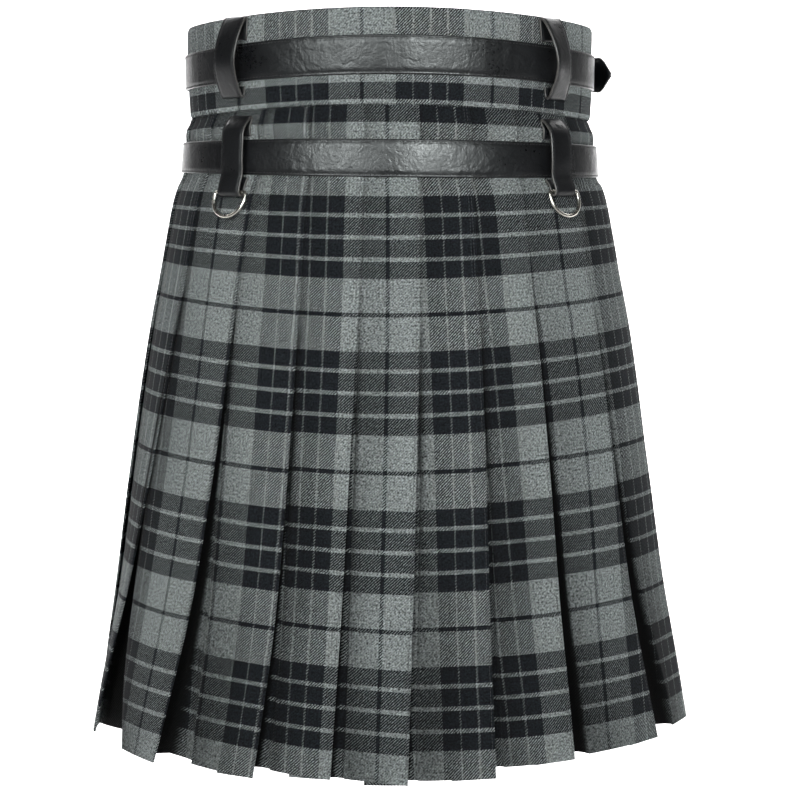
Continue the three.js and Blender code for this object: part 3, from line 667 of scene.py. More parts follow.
# depth and mm out: the top rows turn in behind the waistband, as the seam allowance does
SEAM_TURN = [(74.0, -3.4), (76.4, -3.2), (77.4, -1.9), (78.3, -0.9), (79.6, -0.35), (81.5, -0.1)]
SEAM_TURNED = 84
skirt_depths = np.concatenate([
    [depth for depth, _ in SEAM_TURN],
    np.arange(SEAM_TURNED, PLEATS_FREE, 7.0),
    np.arange(PLEATS_FREE, LENGTH - 20, 7.5),
    [591, 593.2, 594.2, 595.2, 597.4, 602, 606.5, 609.2, LENGTH],
])


def painted_fold_shade(angles, outs, depth):
    """From 0 to 1, the painted shade of the cloth inside the pleats and just beyond their creases, where
    little light reaches.
    """
    dark = np.clip((-outs - CLOTH / 2) / DARK_FROM, 0, 1) ** 1.5
    scale = mm_per_degree(angles, depth)
    beyond_crease = mix(SHADE_SEWN, SHADE_FREE, opened_share(depth))
    for n, pleat in enumerate(PLEATS):
        edge, crease = edge_angle(n, depth), crease_angle(n, depth)
        if pleat.pocket < WIDE_OPEN:
            opened = (angles > edge) & (angles < crease + SHADE_REACH / scale)
            dark = np.where(opened, np.minimum(dark, SHADE_OPENED), dark)
        gap = np.clip((crease - edge) * scale / SHADE_GAP, 0, 1)
        past = (angles - crease) * scale
        shade = beyond_crease * (1 - GAP_LIGHT * gap) * np.exp(-(past / SHADE_REACH) ** 2)
        dark = np.maximum(dark, np.where(past > 0, shade, 0))
    return dark


def cloth_mesh(name, row_at):
    """The cloth through the places that row_at gives at every depth, dented by the hem's stitches."""
    points, threads = [], []
    for depth in skirt_depths:
        angles, outs, warps, lifts = np.array(row_at(max(depth, SKIRT_TOP))).T
        turned_in = np.interp(depth, *np.array(SEAM_TURN).T) if depth < SEAM_TURNED else 0
        hem_groove = -STITCH_DENT * math.exp(-(depth - LENGTH + HEM_ALLOWANCE) ** 2)
        place = body_point(angles, depth, outs + turned_in + hem_groove)
        place[:, 2] += lifts
        points.append(place)
        wefts = np.full_like(warps, weft_at(depth))
        # the third value is the painted shade of the folds
        threads.append(np.stack([warps, wefts, painted_fold_shade(angles, outs, depth)], 1))
    return grid_mesh(name, np.array(points), np.array(threads))


skirt = add_piece(
    "pleated_cloth", cloth_mesh("pleated_cloth", pleated_row), tartan, "tartan", "kilt", "pleated_skirt",
)
give_thickness(skirt, CLOTH)

# ---- aprons ----
# Two flat panels that cross in front: the over apron ends in a pleat at the wearer's left, and the
# under apron lies inside it.

# degrees of each apron's free edge, at the top and at the hem
OVER_APRON_EDGE = (-255, -248)
UNDER_APRON_EDGE = (246, 229)
UNDER_APRON_FROM = 100  # about where it comes out of the last pleat
APRON_COLUMNS = 70
APRON_SWAY, SWAY_WAVES, SWAY_FALL = 0.8, 3.1, 90


def along_cloth(angles, depth):
    """The mm of cloth from the first of the angles to each of them."""
    steps = np.diff(angles) * mm_per_degree((angles[1:] + angles[:-1]) / 2, depth)
    return np.concatenate([[0], np.cumsum(steps)])


def over_apron_row(depth):
    """Across the over apron and round the first pleat's fold: angle, out, warp place and lift."""
    edge = edge_angle(0, depth)
    fold = edge - FOLD_REACH / mm_per_degree(edge, depth)
    angles = np.linspace(mix(*OVER_APRON_EDGE, depth / LENGTH), fold, APRON_COLUMNS)
    along = along_cloth(angles, depth)
    warp = edge_warp(0, depth) - (along[-1] - along) - FOLD_REACH
    sway = APRON_SWAY * free_share(depth) * np.sin(np.radians(angles * SWAY_WAVES))
    outs = sway * math.sin(depth / SWAY_FALL) - CLOTH / 2
    return [(a, out, w, 0) for a, out, w in zip(angles, outs, warp)] + pleat_places(0, depth)


def under_apron_row(depth):
    """From beneath the last pleat across the under apron: angle, out, warp place and lift."""
    n = len(PLEATS) - 1
    start = crease_angle(n, depth) + FOLD_REACH / mm_per_degree(UNDER_APRON_FROM, depth)
    angles = np.linspace(start, mix(*UNDER_APRON_EDGE, depth / LENGTH), APRON_COLUMNS)
    warp = edge_warp(n, depth) + 2 * tuck_width(depth) + along_cloth(angles, depth)
    flat = [(a, -CLOTH / 2 - APRON_PLY, w, 0) for a, w in zip(angles, warp)]
    return crease_places(n, depth, flat[0]) + flat


over_apron = add_piece(
    "over_apron_cloth", cloth_mesh("over_apron_cloth", over_apron_row), tartan, "tartan", "kilt",
    "over_apron",
)
give_thickness(over_apron, CLOTH)
under_apron = add_piece(
    "under_apron_cloth", cloth_mesh("under_apron_cloth", under_apron_row), tartan, "tartan", "kilt",
    "under_apron",
)
give_thickness(under_apron, CLOTH)

# ---- leather straps ----
# Two straps of finished black cowhide, 31 mm wide, that lie round the waist over the cloth. Each is
# stitched along both edges in black thread, and the stitches pinch the leather into faint puckers.

SEAM_GAP = 0.3
STRAP = 1.8
STRAP_OUT = SEAM_GAP + 0.05 + STRAP / 2
STRAP_STEP = 2.5  # degrees
STRAP_CROWN = 1.12  # the half thickness is this much more along the middle
PUCKER, PUCKER_PITCH, PUCKER_SHARE = 0.1, 3.0, 0.25
EDGE_STITCHES = 0.87  # share of the half width, where the stitches have pulled a groove
SEAM_STITCHES, SEAM_INSET, SEAM_HALF_WIDTH = 12, 1.5, 0.6  # number, mm, degrees
BAR_RADIUS = 2
BAR_OUT = 6.4
BAR_ALONG = 17
BAR_WRAP = BAR_RADIUS + 0.6 + STRAP / 2
STRAPS = {
    "upper": {
        "top": 22, "bottom": 53.5, "buckle": 118, "seam": -65.5,
        "tail": [(24, 13.2, 0), (34, 15, 0), (46, 18.6, 4)],
    },
    "lower": {
        "top": 105, "bottom": 135.5, "buckle": 127, "seam": 59.1,
        "tail": [(26, 11.6, 0), (34, 9.4, 0), (46, 8.2, 4)],
    },
}
# mm along the cloth from the buckle's middle to the back, and mm out
STRAP_FOLD = [
    (46, STRAP_OUT + STRAP + 0.5), (34, STRAP_OUT + STRAP + 0.8), (26, 7.4), (21, 9.4),
    (BAR_ALONG, BAR_OUT + BAR_WRAP), (BAR_ALONG - 0.7 * BAR_WRAP, BAR_OUT + 0.7 * BAR_WRAP),
    (BAR_ALONG - BAR_WRAP, BAR_OUT), (BAR_ALONG - 0.7 * BAR_WRAP, BAR_OUT - 0.7 * BAR_WRAP),
    (BAR_ALONG, BAR_OUT - BAR_WRAP), (23, 2.1), (31, STRAP_OUT),
]
STRAP_THROUGH = [
    (-26, STRAP_OUT), (-17, STRAP_OUT + 0.1), (-8, 3.4), (2, 7.5), (10, 11.4),
    (BAR_ALONG, BAR_OUT + BAR_WRAP + STRAP + 0.5),
]


def leather_material(name, tones, roughness, grain_depth):
    """Chrome-tanned cowhide with a pigmented finish: a 2 mm pebble, soft wrinkles and a patchy shine."""
    material, tree = new_material(name)
    place = add_node(tree, "ShaderNodeTexCoord").outputs["Object"]
    # scales per metre: a pebble of 1.9 mm, wrinkles of 10 mm and clouds of 33 mm
    pebble = add_node(tree, "ShaderNodeTexNoise", {"Vector": place, "Scale": 520.0, "Detail": 3.0})
    wrinkle = add_node(
        tree, "ShaderNodeTexNoise", {"Vector": place, "Scale": 95.0, "Detail": 2.0, "Distortion": 0.8},
    )
    cloud = add_node(tree, "ShaderNodeTexNoise", {"Vector": place, "Scale": 30.0, "Detail": 3.0})
    height = add_node(tree, "ShaderNodeMath", {0: wrinkle, 1: 3.0, 2: pebble}, operation="MULTIPLY_ADD")
    bump = add_node(tree, "ShaderNodeBump", {"Height": height, "Strength": 0.8, "Distance": grain_depth})
    patchy = add_node(tree, "ShaderNodeMath", {0: cloud, 1: pebble}, operation="ADD")
    rough = add_node(
        tree, "ShaderNodeMath", {0: patchy, 1: 0.3, 2: roughness - 0.3}, operation="MULTIPLY_ADD",
    )
    tone = add_node(
        tree, "ShaderNodeMix", {0: cloud, 6: linear(tones[0]), 7: linear(tones[1])}, data_type="RGBA",
    )
    shader = add_node(tree, "ShaderNodeBsdfPrincipled", {
        "Base Color": tone.outputs[2], "Roughness": rough, "IOR": 1.5, "Normal": bump,
    })
    add_node(tree, "ShaderNodeOutputMaterial", {"Surface": shader})
    return material


strap_leather = leather_material("pigmented_cowhide", ("#0c0d0f", "#17181b"), 0.36, 0.00022)


def smooth_line(points, steps):
    """Points along a smooth curve through the given ones (rows of numbers), steps to each span."""
    points = np.array(points, dtype=float)
    padded = np.vstack([2 * points[0] - points[1], points, 2 * points[-1] - points[-2]])
    knots = np.concatenate([[0], np.cumsum(np.sqrt(np.linalg.norm(np.diff(padded, axis=0), axis=1)))])
    out = []
    for i in range(1, len(padded) - 2):
        for t in np.linspace(knots[i], knots[i + 1], steps, endpoint=False):
            level_points, level_knots = padded[i - 1:i + 3], knots[i - 1:i + 3]
            a = [
                level_points[k] + (level_points[k + 1] - level_points[k])
                * (t - level_knots[k]) / (level_knots[k + 1] - level_knots[k])
                for k in range(3)
            ]
            b = [
                a[k] + (a[k + 1] - a[k]) * (t - level_knots[k]) / (level_knots[k + 2] - level_knots[k])
                for k in range(2)
            ]
            out.append(b[0] + (b[1] - b[0]) * (t - level_knots[1]) / (level_knots[2] - level_knots[1]))
    return np.array(out + [points[-1]])


def strap_middle(strap):
    return (strap["top"] + strap["bottom"]) / 2


def beside_buckle(strap, along):
    """The angle that lies so many mm along the cloth from the buckle's middle towards the back."""
    half_way = strap["buckle"] - along / 4  # at about 2 mm to a degree
    return strap["buckle"] - along / mm_per_degree(half_way, strap_middle(strap))


def strap_line(strap):
    """The strap's places from its free tail round the body to its sewn-down end: angle, out, height."""
    full = strap["bottom"] - strap["top"]
    through = [(beside_buckle(strap, a) - 360, out, full) for a, out in STRAP_THROUGH]
    through += [(beside_buckle(strap, a) - 360, out, h or full) for a, out, h in strap["tail"]]
    fold = [(beside_buckle(strap, a), out, full) for a, out in STRAP_FOLD]
    count = round((fold[-1][0] - through[0][0]) / STRAP_STEP)
    around = [(a, STRAP_OUT, full) for a in np.linspace(through[0][0], fold[-1][0], count + 1)[1:-1]]
    return through[::-1] + around + fold[::-1]


# across a strap or loop: share of the half width, and how the half thickness tapers there
EDGE_PROFILE = [
    (-1.0, 0.0), (-0.985, 0.55), (-0.955, 0.95), (-0.92, 1.02), (-0.87, 0.6), (-0.82, 1.0), (-0.6, 1.08),
    (-0.3, 1.12), (0, 1.14), (0.3, 1.12), (0.6, 1.08), (0.82, 1.0), (0.87, 0.6), (0.92, 1.02),
    (0.955, 0.95), (0.985, 0.55), (1.0, 0.0),
]
CUT_EDGE_FROM = 0.95  # share of the half width


def tube_mesh(name, rings):
    """A tube through rings of points, one ring to a row, closed at both ends."""
    mesh = grid_mesh(name, rings, ring=True)
    build = bmesh.new()
    build.from_mesh(mesh)
    build.verts.ensure_lookup_table()
    rows, sides = rings.shape[:2]
    for row in (0, rows - 1):
        corners = [build.verts[row * sides + k] for k in range(sides)]
        build.faces.new(corners if row == 0 else corners[::-1])
    bmesh.ops.recalc_face_normals(build, faces=build.faces)
    build.to_mesh(mesh)
    build.free()
    mesh.shade_smooth()
    return mesh


def band_mesh(name, centre, side, out, thickness, materials, puckers=0.0):
    """A flat band along rows of centre points, with half-width vectors and unit outward vectors.

    Its cut edges take the last of the materials."""
    along = np.concatenate([[0], np.cumsum(np.linalg.norm(np.diff(centre, axis=0), axis=1))])
    profile = EDGE_PROFILE[::-1] + [(share, -taper) for share, taper in EDGE_PROFILE[1:-1]]
    rings = []
    for share, taper in profile:
        near_edge = np.exp(-(((1 - abs(share)) / PUCKER_SHARE) ** 2)) * (taper > 0)
        pinch = puckers * near_edge * np.sin(along * 2 * np.pi / PUCKER_PITCH)
        height = thickness / 2 * taper + pinch
        rings.append(centre + side * share + out * height[:, None])
    mesh = tube_mesh(name, np.stack(rings, axis=1))
    for material in materials:
        mesh.materials.append(material)
    shares = np.abs([share for share, _ in profile])
    cut = np.minimum(shares, np.roll(shares, -1)) >= CUT_EDGE_FROM
    slots = np.tile(np.where(cut, len(materials) - 1, 0), len(centre) - 1)
    mesh.polygons.foreach_set("material_index", np.append(slots, [0, 0]))  # its two ends have the first
    return mesh


def level_out(points):
    """Unit vectors out of a level line of points that runs to the wearer's right."""
    along = np.gradient(points, axis=0)
    out = np.stack([along[:, 1], -along[:, 0], np.zeros(len(points))], axis=1)
    return out / np.linalg.norm(out, axis=1, keepdims=True)


def strap_rows(strap):
    """The strap's centre points and half-width vectors, in mm."""
    line, middle = strap_line(strap), strap_middle(strap)
    flat = [body_point(angle, middle, out) for angle, out, _ in line]
    reach = [
        (body_point(angle, middle + height / 2, out) - body_point(angle, middle - height / 2, out)) / 2
        for angle, out, height in line
    ]
    rows = smooth_line(np.hstack([flat, reach]), 3)
    return rows[:, :3], rows[:, 3:]


stitch_runs = {}  # for each thread: lists of points and of outward vectors, in mm


def add_stitches(thread, points, outs):
    stitch_runs.setdefault(thread, []).append((points, outs))


for which, strap in STRAPS.items():
    centre, side = strap_rows(strap)
    out = level_out(centre)
    name = f"strap_{which}_leather"
    mesh = band_mesh(name, centre, -side, out, STRAP, [strap_leather], puckers=PUCKER)
    add_piece(name, mesh, None, "leather", "kilt", f"strap_{which}")
    for share in (-EDGE_STITCHES, EDGE_STITCHES):
        add_stitches("strap", centre + side * share + out * (STRAP / 2), out)
    for offset in (-SEAM_HALF_WIDTH, SEAM_HALF_WIDTH):
        angle = strap["seam"] + offset
        depths = np.linspace(strap["top"] + SEAM_INSET, strap["bottom"] - SEAM_INSET, SEAM_STITCHES)
        points = body_point(angle, depths, STRAP_OUT + STRAP / 2 * STRAP_CROWN)
        normal = body_point(angle, strap_middle(strap), 1) - body_point(angle, strap_middle(strap), 0)
        add_stitches("strap", points, np.tile(normal, (len(points), 1)))

# ---- buckles ----
# Plain roller-less frames of round steel wire, nickel plated, each with a straight prong through the
# strap. The frame's rear bar holds the strap's folded end.


def nickel_material(name, roughness):
    """Bright nickel plate on wire: slightly warm, with fine draw lines and faint rub marks."""
    material, tree = new_material(name)
    place = add_node(tree, "ShaderNodeTexCoord").outputs["Object"]
    rub = add_node(tree, "ShaderNodeTexNoise", {"Vector": place, "Scale": 240.0, "Detail": 2.0})  # 4 mm
    rough = add_node(tree, "ShaderNodeMapRange", {
        "Value": rub, "From Min": 0.35, "From Max": 0.7, "To Min": roughness, "To Max": roughness + 0.16,
    })
    bump = add_node(tree, "ShaderNodeBump", {"Height": rub, "Strength": 0.08, "Distance": 0.00005})
    shader = add_node(tree, "ShaderNodeBsdfPrincipled", {
        "Base Color": linear("#d3cfc6"), "Metallic": 1.0, "Roughness": rough, "Normal": bump,
    })
    add_node(tree, "ShaderNodeOutputMaterial", {"Surface": shader})
    return material


nickel = nickel_material("nickel_plated_wire", 0.16)
FRAME_CORNER = 3.6  # to the middle of the wire, which clears the strap's edge by 1.6
PRONG_RADIUS, PRONG_SIDES, PRONG_ENDS = 1.4, 10, 0.45  # the ends are ground to this share
# mm along the cloth from the buckle's middle to the back, and mm out
PRONG_LINE = [(11.4, 7), (2, 9.6), (-10, 11.2), (-20.5, 11)]


def wire_mesh(name, outline, radius, matrix, sides=14):
    """Round wire bent to a closed outline in its own XY plane, put in place by a matrix."""
    outline = np.array(outline, dtype=float)
    heading = np.roll(outline, -1, axis=0) - np.roll(outline, 1, axis=0)
    heading /= np.linalg.norm(heading, axis=1, keepdims=True)
    turns = np.linspace(0, 2 * np.pi, sides, endpoint=False)
    points = np.zeros((len(outline), sides, 3))
    points[:, :, 0] = outline[:, :1] + radius * np.cos(turns) * heading[:, 1:]
    points[:, :, 1] = outline[:, 1:] - radius * np.cos(turns) * heading[:, :1]
    points[:, :, 2] = radius * np.sin(turns)
    points = np.concatenate([points, points[:1]])
    mesh = grid_mesh(name, points, ring=True)
    build = bmesh.new()
    build.from_mesh(mesh)
    bmesh.ops.remove_doubles(build, verts=build.verts, dist=1e-6)
    bmesh.ops.recalc_face_normals(build, faces=build.faces)
    build.transform(matrix)
    build.to_mesh(mesh)
    build.free()
    mesh.shade_smooth()
    return mesh


def arc(centre_x, centre_y, radius_x, radius_y, start, end, steps):
    turns = np.radians(np.linspace(start, end, steps + 1))
    return [(centre_x + radius_x * math.cos(t), centre_y + radius_y * math.sin(t)) for t in turns]


def buckle_area_point(strap, along, out):
    return body_point(beside_buckle(strap, along), strap_middle(strap), out)


def frame_matrix(x_axis, y_axis, z_axis, place):
    """A frame with its axes as given and its origin at a place in mm, scaled from mm to metres."""
    matrix = Matrix([[*row, 0] for row in np.array([x_axis, y_axis, z_axis]).T] + [[0, 0, 0, 1]])
    return Matrix.Translation(Vector(place) * MM) @ matrix


def unit(vector):
    return vector / np.linalg.norm(vector)


def prong_mesh(name, line):
    """Round wire along a line of points in mm."""
    radii = np.full((len(line), 1), PRONG_RADIUS)
    radii[[0, -1]] *= PRONG_ENDS
    across = np.cross(np.gradient(line, axis=0), (0, 0, 1.0))
    across /= np.linalg.norm(across, axis=1, keepdims=True)
    above = np.cross(across, np.gradient(line, axis=0))
    above /= np.linalg.norm(above, axis=1, keepdims=True)
    turns = np.linspace(0, 2 * math.pi, PRONG_SIDES, endpoint=False)
    rings = [line + radii * (math.cos(t) * across + math.sin(t) * above) for t in turns]
    return tube_mesh(name, np.stack(rings, axis=1))


for which, strap in STRAPS.items():
    rear = buckle_area_point(strap, BAR_ALONG, BAR_OUT)
    front = buckle_area_point(strap, -BAR_ALONG, BAR_OUT)
    backwards = unit((rear - front) * (1, 1, 0))
    lean = body_point(strap["buckle"], strap["top"]) - body_point(strap["buckle"], strap["bottom"])
    outward = unit(np.cross(lean, backwards))
    upward = np.cross(backwards, outward)
    half_x = np.linalg.norm(rear - front) / 2 - FRAME_CORNER
    half_y = (strap["bottom"] - strap["top"]) / 2
    outline = []
    for quarter, (x, y) in enumerate(((1, 1), (-1, 1), (-1, -1), (1, -1))):
        start = 90 * quarter
        outline += arc(x * half_x, y * half_y, FRAME_CORNER, FRAME_CORNER, start, start + 90, 8)
    place = frame_matrix(backwards, upward, -outward, (rear + front) / 2)
    name = f"buckle_{which}_frame"
    mesh = wire_mesh(name, outline, BAR_RADIUS, place)
    add_piece(name, mesh, nickel, "nickel", "kilt", f"buckle_{which}")

    line = smooth_line([buckle_area_point(strap, *place) for place in PRONG_LINE], 5)
    name = f"prong_{which}_wire"
    add_piece(name, prong_mesh(name, line), nickel, "nickel", "kilt", f"prong_{which}")

# ---- belt loops and ring loops ----
# Loops of the same hide, 22 mm wide. Each is sewn down behind, folded at the top and stands off the
# cloth for a belt. The cut edges are rubbed smooth, and their lighter colour is partly their own
# and partly a painted highlight where they catch the light. The lower two end in a fold that holds
# a ring.

LOOP_LEATHER = 2
LOOP_WIDTH = 22
LOOP_SEAT = SEAM_GAP + LOOP_LEATHER / 2
WIRE_RADIUS = 1.5
RING_DEPTH = 149.5
RING_OUT = 4.14
RING_WRAP = WIRE_RADIUS + 0.5 + LOOP_LEATHER / 2
RING_HALF_WIDTH = 15.5
RING_ARM = 6
RING_BOW = 15
RING_CORNER = 2.5
RING_LEAN = 5  # degrees
# each loop's angle half way down, its lean in degrees per mm, and how far its standing leg turns
BELT_LOOPS = {"left": (-46.9, -0.03, 0), "right": (50.6, 0.05, 16)}
RING_LOOPS = {"left": (-44.3, 0, 0), "right": (49.9, 0, 0)}
BELT_LOOP_MIDDLE = 35
LOOP_STEPS = 6  # from one place of a loop's line to the next
LOOP_SEWN = slice(2 * LOOP_STEPS, -2 * LOOP_STEPS - 2)  # from the top fold to the fold at the foot
# depth, mm out, mm below
BELT_LOOP_LINE = [
    (19, LOOP_SEAT, 0), (9, LOOP_SEAT, 0), (3, LOOP_SEAT + 0.2, 0), (1.3, 2.8, 0), (3.5, 5.6, 0),
    (13, 10.8, 0), (26, 14.8, 0), (38, 15.6, 0), (50, 12.6, 0), (60, 7.4, 0), (65.3, 3.6, 0),
    (63.5, LOOP_SEAT + 0.2, 0), (57, LOOP_SEAT, 0),
]
RING_LOOP_LINE = [
    (102, LOOP_SEAT, 0), (93, LOOP_SEAT, 0), (86, LOOP_SEAT + 0.2, 0), (83.5, 2.8, 0), (85.5, 5.4, 0),
    (95, 9, 0), (108, 11.4, 0), (122, 11.4, 0), (135, 10, 0), (143, 8.6, 0),
] + [
    (RING_DEPTH, RING_OUT + RING_WRAP * math.cos(t), RING_WRAP * math.sin(t))
    for t in np.radians([0, 45, 90, 135, 180])
] + [(144.5, LOOP_SEAT, 0), (138, LOOP_SEAT, 0)]


def cloth_out(angle, depth):
    """How far out the sewn cloth's face lies: nil or less."""
    if depth <= BAND_DEPTH:
        return 0
    for n in range(1, len(PLEATS)):
        if edge_angle(n, depth) > angle:
            return -panel_drop(panel_share(n, angle, depth), depth)
    return 0


def loop_bed(angle, depth):
    """How far out the highest cloth beneath a loop lies."""
    reach = LOOP_WIDTH / 2 / mm_per_degree(angle, depth)
    return max(cloth_out(angle + share * reach, depth) for share in (-1, -0.5, 0, 0.5, 1))


def turned(vector, degrees):
    c, s = math.cos(math.radians(degrees)), math.sin(math.radians(degrees))
    return np.array([c * vector[0] - s * vector[1], s * vector[0] + c * vector[1], vector[2]])


def level_along(angle, depth):
    return unit((body_point(angle + 0.5, depth) - body_point(angle - 0.5, depth)) * (1, 1, 0))


# painted highlight: the cut edges' lighter colour is partly their own and partly the light that they catch
cut_leather = leather_material("burnished_cut_edge_painted_highlight", ("#3c3b3a", "#62605d"), 0.34, 0.00006)


def loop_piece(name, angle, lean, turn, line, node):
    """A loop along a line of depth, mm out and mm below, with its edge stitches."""
    places = []
    for depth, out, below in line:
        leaning = angle + lean * (depth - BELT_LOOP_MIDDLE)
        places.append((*body_point(leaning, depth, out + loop_bed(leaning, depth)) - (0, 0, below), out))
    rows = smooth_line(places, LOOP_STEPS)
    centre, standing = rows[:, :3], rows[:, 3] / max(out for _, out, _ in line)
    along = level_along(angle, line[-1][0])
    side = np.array([turned(along, turn * share) for share in standing]) * LOOP_WIDTH / 2
    heading = np.gradient(centre, axis=0)
    heading /= np.linalg.norm(heading, axis=1, keepdims=True)
    face = np.cross(heading, side)
    face /= np.linalg.norm(face, axis=1, keepdims=True)
    mesh = band_mesh(name, centre, -side, face, LOOP_LEATHER, [strap_leather, cut_leather])
    add_piece(name, mesh, None, "leather", "kilt", node)
    for share in (-EDGE_STITCHES, EDGE_STITCHES):
        points = centre + side * share + face * (LOOP_LEATHER / 2)
        add_stitches("loop", points[LOOP_SEWN], face[LOOP_SEWN])


for hand, (angle, lean, turn) in BELT_LOOPS.items():
    loop_piece(f"belt_loop_{hand}_leather", angle, lean, turn, BELT_LOOP_LINE, f"belt_loop_{hand}")
for hand, (angle, lean, turn) in RING_LOOPS.items():
    loop_piece(f"ring_loop_{hand}_leather", angle, lean, turn, RING_LOOP_LINE, f"ring_loop_{hand}")

# ---- D-rings ----
# Bent from 3 mm steel wire, butt joined in the straight bar, nickel plated. They hang in the folded
# ends of the lower loops.

for hand, (angle, _, _) in RING_LOOPS.items():
    depth = RING_DEPTH + RING_BOW / 2
    along = level_along(angle, depth)
    down = unit(body_point(angle, depth + 4) - body_point(angle, depth - 4))
    out = unit(np.cross(down, along))
    lean = math.radians(-RING_LEAN)
    outward = out * math.cos(lean) + np.cross(along, out) * math.sin(lean)
    upward = np.cross(outward, along)
    bar = RING_HALF_WIDTH - RING_CORNER
    outline = arc(0, -RING_ARM, RING_HALF_WIDTH, RING_BOW, 180, 360, 40)
    outline += arc(bar, -RING_CORNER, RING_CORNER, RING_CORNER, 0, 90, 6)
    outline += arc(-bar, -RING_CORNER, RING_CORNER, RING_CORNER, 90, 180, 6)
    seat = body_point(angle, RING_DEPTH, RING_OUT + loop_bed(angle, RING_DEPTH))
    place = frame_matrix(along, upward, outward, seat)
    name = f"ring_{hand}_wire"
    mesh = wire_mesh(name, outline, WIRE_RADIUS, place)
    add_piece(name, mesh, nickel, "nickel", f"ring_{hand}", f"ring_{hand}")

# ---- sewing ----
# Lock stitches in doubled polyester thread: black on the leather, charcoal along the pleats' folded
# edges and the hem. Each stitch lies in a small dent that the thread has pulled.

SEWN_FROM, SEWN_STEP = 80.0, 4.0
# mm from the folded edge and the last depth: one row down to the hem, and one that holds the pleat shut
PLEAT_ROWS = ((STITCH_LINE, LENGTH - 3), (STITCH_LINE + 2.4, PLEATS_FREE + 6))
HEM_DEPTH = LENGTH - HEM_ALLOWANCE
HEM_SINK = 0.15
HEM_ENDS = (0.6, -0.5)  # degrees past the crease and short of the folded edge
# first and last angle of the hem's stitches on each apron, and how far out they lie
APRON_HEMS = ((-248.0, -97.0, -HEM_SINK), (118.0, 226.0, -HEM_SINK - APRON_PLY))

for n in range(1, len(PLEATS)):
    for inset, last in PLEAT_ROWS:
        depths = np.arange(SEWN_FROM, last, SEWN_STEP)
        angles = np.array([edge_angle(n, d) - inset / mm_per_degree(edge_angle(n, d), d) for d in depths])
        outs = np.array([float(panel_out(n, a, d)) for a, d in zip(angles, depths)])
        points = body_point(angles, depths, outs)
        points[:, 2] += [float(panel_lift(n, 1, d)) for d in depths]
        outward = body_point(angles, depths, outs + 1) - body_point(angles, depths, outs)
        add_stitches("pleat", points, outward)


def hem_run(n):
    """The hem's stitches across panel n: points and outward vectors."""
    start, edge = crease_angle(n - 1, HEM_DEPTH), edge_angle(n, HEM_DEPTH)
    angles = np.linspace(start + HEM_ENDS[0], edge + HEM_ENDS[1], 12)
    outs = panel_out(n, angles, HEM_DEPTH)
    points = body_point(angles, HEM_DEPTH, outs - HEM_SINK)
    outward = body_point(angles, HEM_DEPTH, outs + 1) - points
    points[:, 2] += panel_lift(n, panel_share(n, angles, HEM_DEPTH), HEM_DEPTH)
    return points, outward


for n in range(1, len(PLEATS)):
    add_stitches("hem", *hem_run(n))
for first, last, out in APRON_HEMS:
    angles = np.arange(first, last, 2.0)
    points = body_point(angles, HEM_DEPTH, out)
    add_stitches("hem", points, body_point(angles, HEM_DEPTH, out + 1) - points)


def thread_material(name, colour):
    """Bonded polyester thread, tightly twisted, with a painted sheen: its colour lightens in spots along its
    length.
    """
    material, tree = new_material(name)
    place = add_node(tree, "ShaderNodeTexCoord").outputs["Object"]
    twist_and_sheen = add_node(tree, "ShaderNodeTexNoise", {"Vector": place, "Scale": 2600.0})  # 0.4 mm
    # painted sheen: the colour is lightened up to three times in spots, by the same noise as the bump
    shine = [3 * c for c in linear(colour)[:3]] + [1]
    tone = add_node(tree, "ShaderNodeMix", {0: twist_and_sheen, 6: linear(colour), 7: shine}, data_type="RGBA")
    bump = add_node(tree, "ShaderNodeBump", {"Height": twist_and_sheen, "Strength": 0.4, "Distance": 0.0001})
    shader = add_node(tree, "ShaderNodeBsdfPrincipled", {
        "Base Color": tone.outputs[2], "Roughness": 0.5, "Sheen Weight": 0.1, "Normal": bump,
    })
    add_node(tree, "ShaderNodeOutputMaterial", {"Surface": shader})
    return material


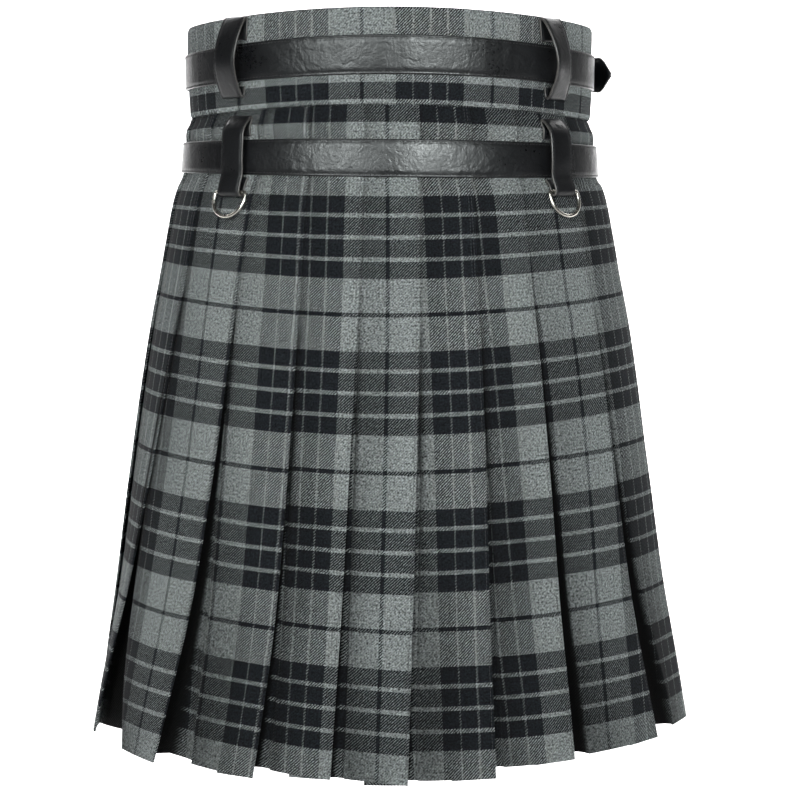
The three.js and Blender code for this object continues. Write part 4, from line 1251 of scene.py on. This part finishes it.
def stitch_tree():
    """A node tree that lays stitches along lines, each turned to its line and to the outward vector."""
    tree = bpy.data.node_groups.new("lock_stitches", "GeometryNodeTree")
    face = tree.interface
    face.new_socket("Lines", in_out="INPUT", socket_type="NodeSocketGeometry")
    for name, default in (("Pitch", 0.003), ("Length", 0.0022), ("Thickness", 0.0005)):
        face.new_socket(name, in_out="INPUT", socket_type="NodeSocketFloat").default_value = default
    face.new_socket("Thread", in_out="INPUT", socket_type="NodeSocketMaterial")
    face.new_socket("Stitches", in_out="OUTPUT", socket_type="NodeSocketGeometry")
    given = add_node(tree, "NodeGroupInput").outputs
    curve = add_node(tree, "GeometryNodeMeshToCurve", {"Mesh": given["Lines"]})
    spacing = {"Curve": curve, "Length": given["Pitch"]}
    points = add_node(tree, "GeometryNodeResampleCurve", spacing, mode="LENGTH")
    outward = add_node(
        tree, "GeometryNodeInputNamedAttribute", {"Name": "outward"}, data_type="FLOAT_VECTOR",
    )
    tangent = add_node(tree, "GeometryNodeInputTangent")
    ahead = add_node(tree, "FunctionNodeAlignRotationToVector", {"Vector": tangent}, axis="X")
    upright = add_node(
        tree, "FunctionNodeAlignRotationToVector",
        {"Rotation": ahead, "Vector": outward}, axis="Z", pivot_axis="X",
    )
    bead = add_node(tree, "GeometryNodeMeshUVSphere", {"Segments": 5, "Rings": 4, "Radius": 0.5})
    lying = add_node(
        tree, "GeometryNodeTransform", {"Geometry": bead, "Rotation": (0, math.pi / 2, 0)},
    )
    flat = add_node(tree, "ShaderNodeCombineXYZ", {
        "X": given["Length"], "Y": given["Thickness"], "Z": given["Thickness"],
    })
    laid = add_node(tree, "GeometryNodeInstanceOnPoints", {
        "Points": points, "Instance": lying, "Rotation": upright,
        "Scale": flat,
    })
    real = add_node(tree, "GeometryNodeRealizeInstances", {"Geometry": laid})
    smooth = add_node(tree, "GeometryNodeSetShadeSmooth", {"Geometry": real})
    finished = add_node(
        tree, "GeometryNodeSetMaterial", {"Geometry": smooth, "Material": given["Thread"]},
    )
    add_node(tree, "NodeGroupOutput", {"Stitches": finished})
    return tree


stitches = stitch_tree()
THREADS = {  # colour, pitch, stitch length and thickness in mm, and the slot of what it is sewn into
    "strap": ("#060607", 3.0, 2.4, 0.7, "leather"),
    "loop": ("#060607", 3.0, 2.4, 0.6, "leather"),
    "pleat": ("#1d1f22", 2.8, 2.1, 0.45, "tartan"),
    "hem": ("#1d1f22", 3.6, 2.4, 0.45, "tartan"),
}
for kind, runs in stitch_runs.items():
    colour, pitch, length, thickness, slot_name = THREADS[kind]
    thread = thread_material(f"polyester_thread_{kind}", colour)
    points = np.concatenate([run for run, _ in runs])
    outs = np.concatenate([out for _, out in runs])
    starts = np.cumsum([0] + [len(run) for run, _ in runs])
    edges = [(k, k + 1) for a, b in zip(starts, starts[1:]) for k in range(a, b - 1)]
    mesh = bpy.data.meshes.new(f"stitch_lines_{kind}")
    mesh.from_pydata((points * MM).tolist(), edges, [])
    mesh.attributes.new("outward", "FLOAT_VECTOR", "POINT").data.foreach_set(
        "vector", outs.reshape(-1).astype(np.float32),
    )
    sewing = bpy.data.objects.new(f"stitches_{kind}", mesh)
    bpy.context.collection.objects.link(sewing)
    modifier = sewing.modifiers.new("lock_stitches", "NODES")
    modifier.node_group = stitches
    values = {"Pitch": pitch * MM, "Length": length * MM, "Thickness": thickness * MM, "Thread": thread}
    for item in stitches.interface.items_tree:
        if item.in_out == "INPUT" and item.name in values:
            modifier[item.identifier] = values[item.name]
    evaluated = sewing.evaluated_get(bpy.context.evaluated_depsgraph_get())
    sewn = bpy.data.meshes.new_from_object(evaluated)
    sewing.modifiers.clear()
    sewing.data = sewn
    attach(sewing, "kilt")
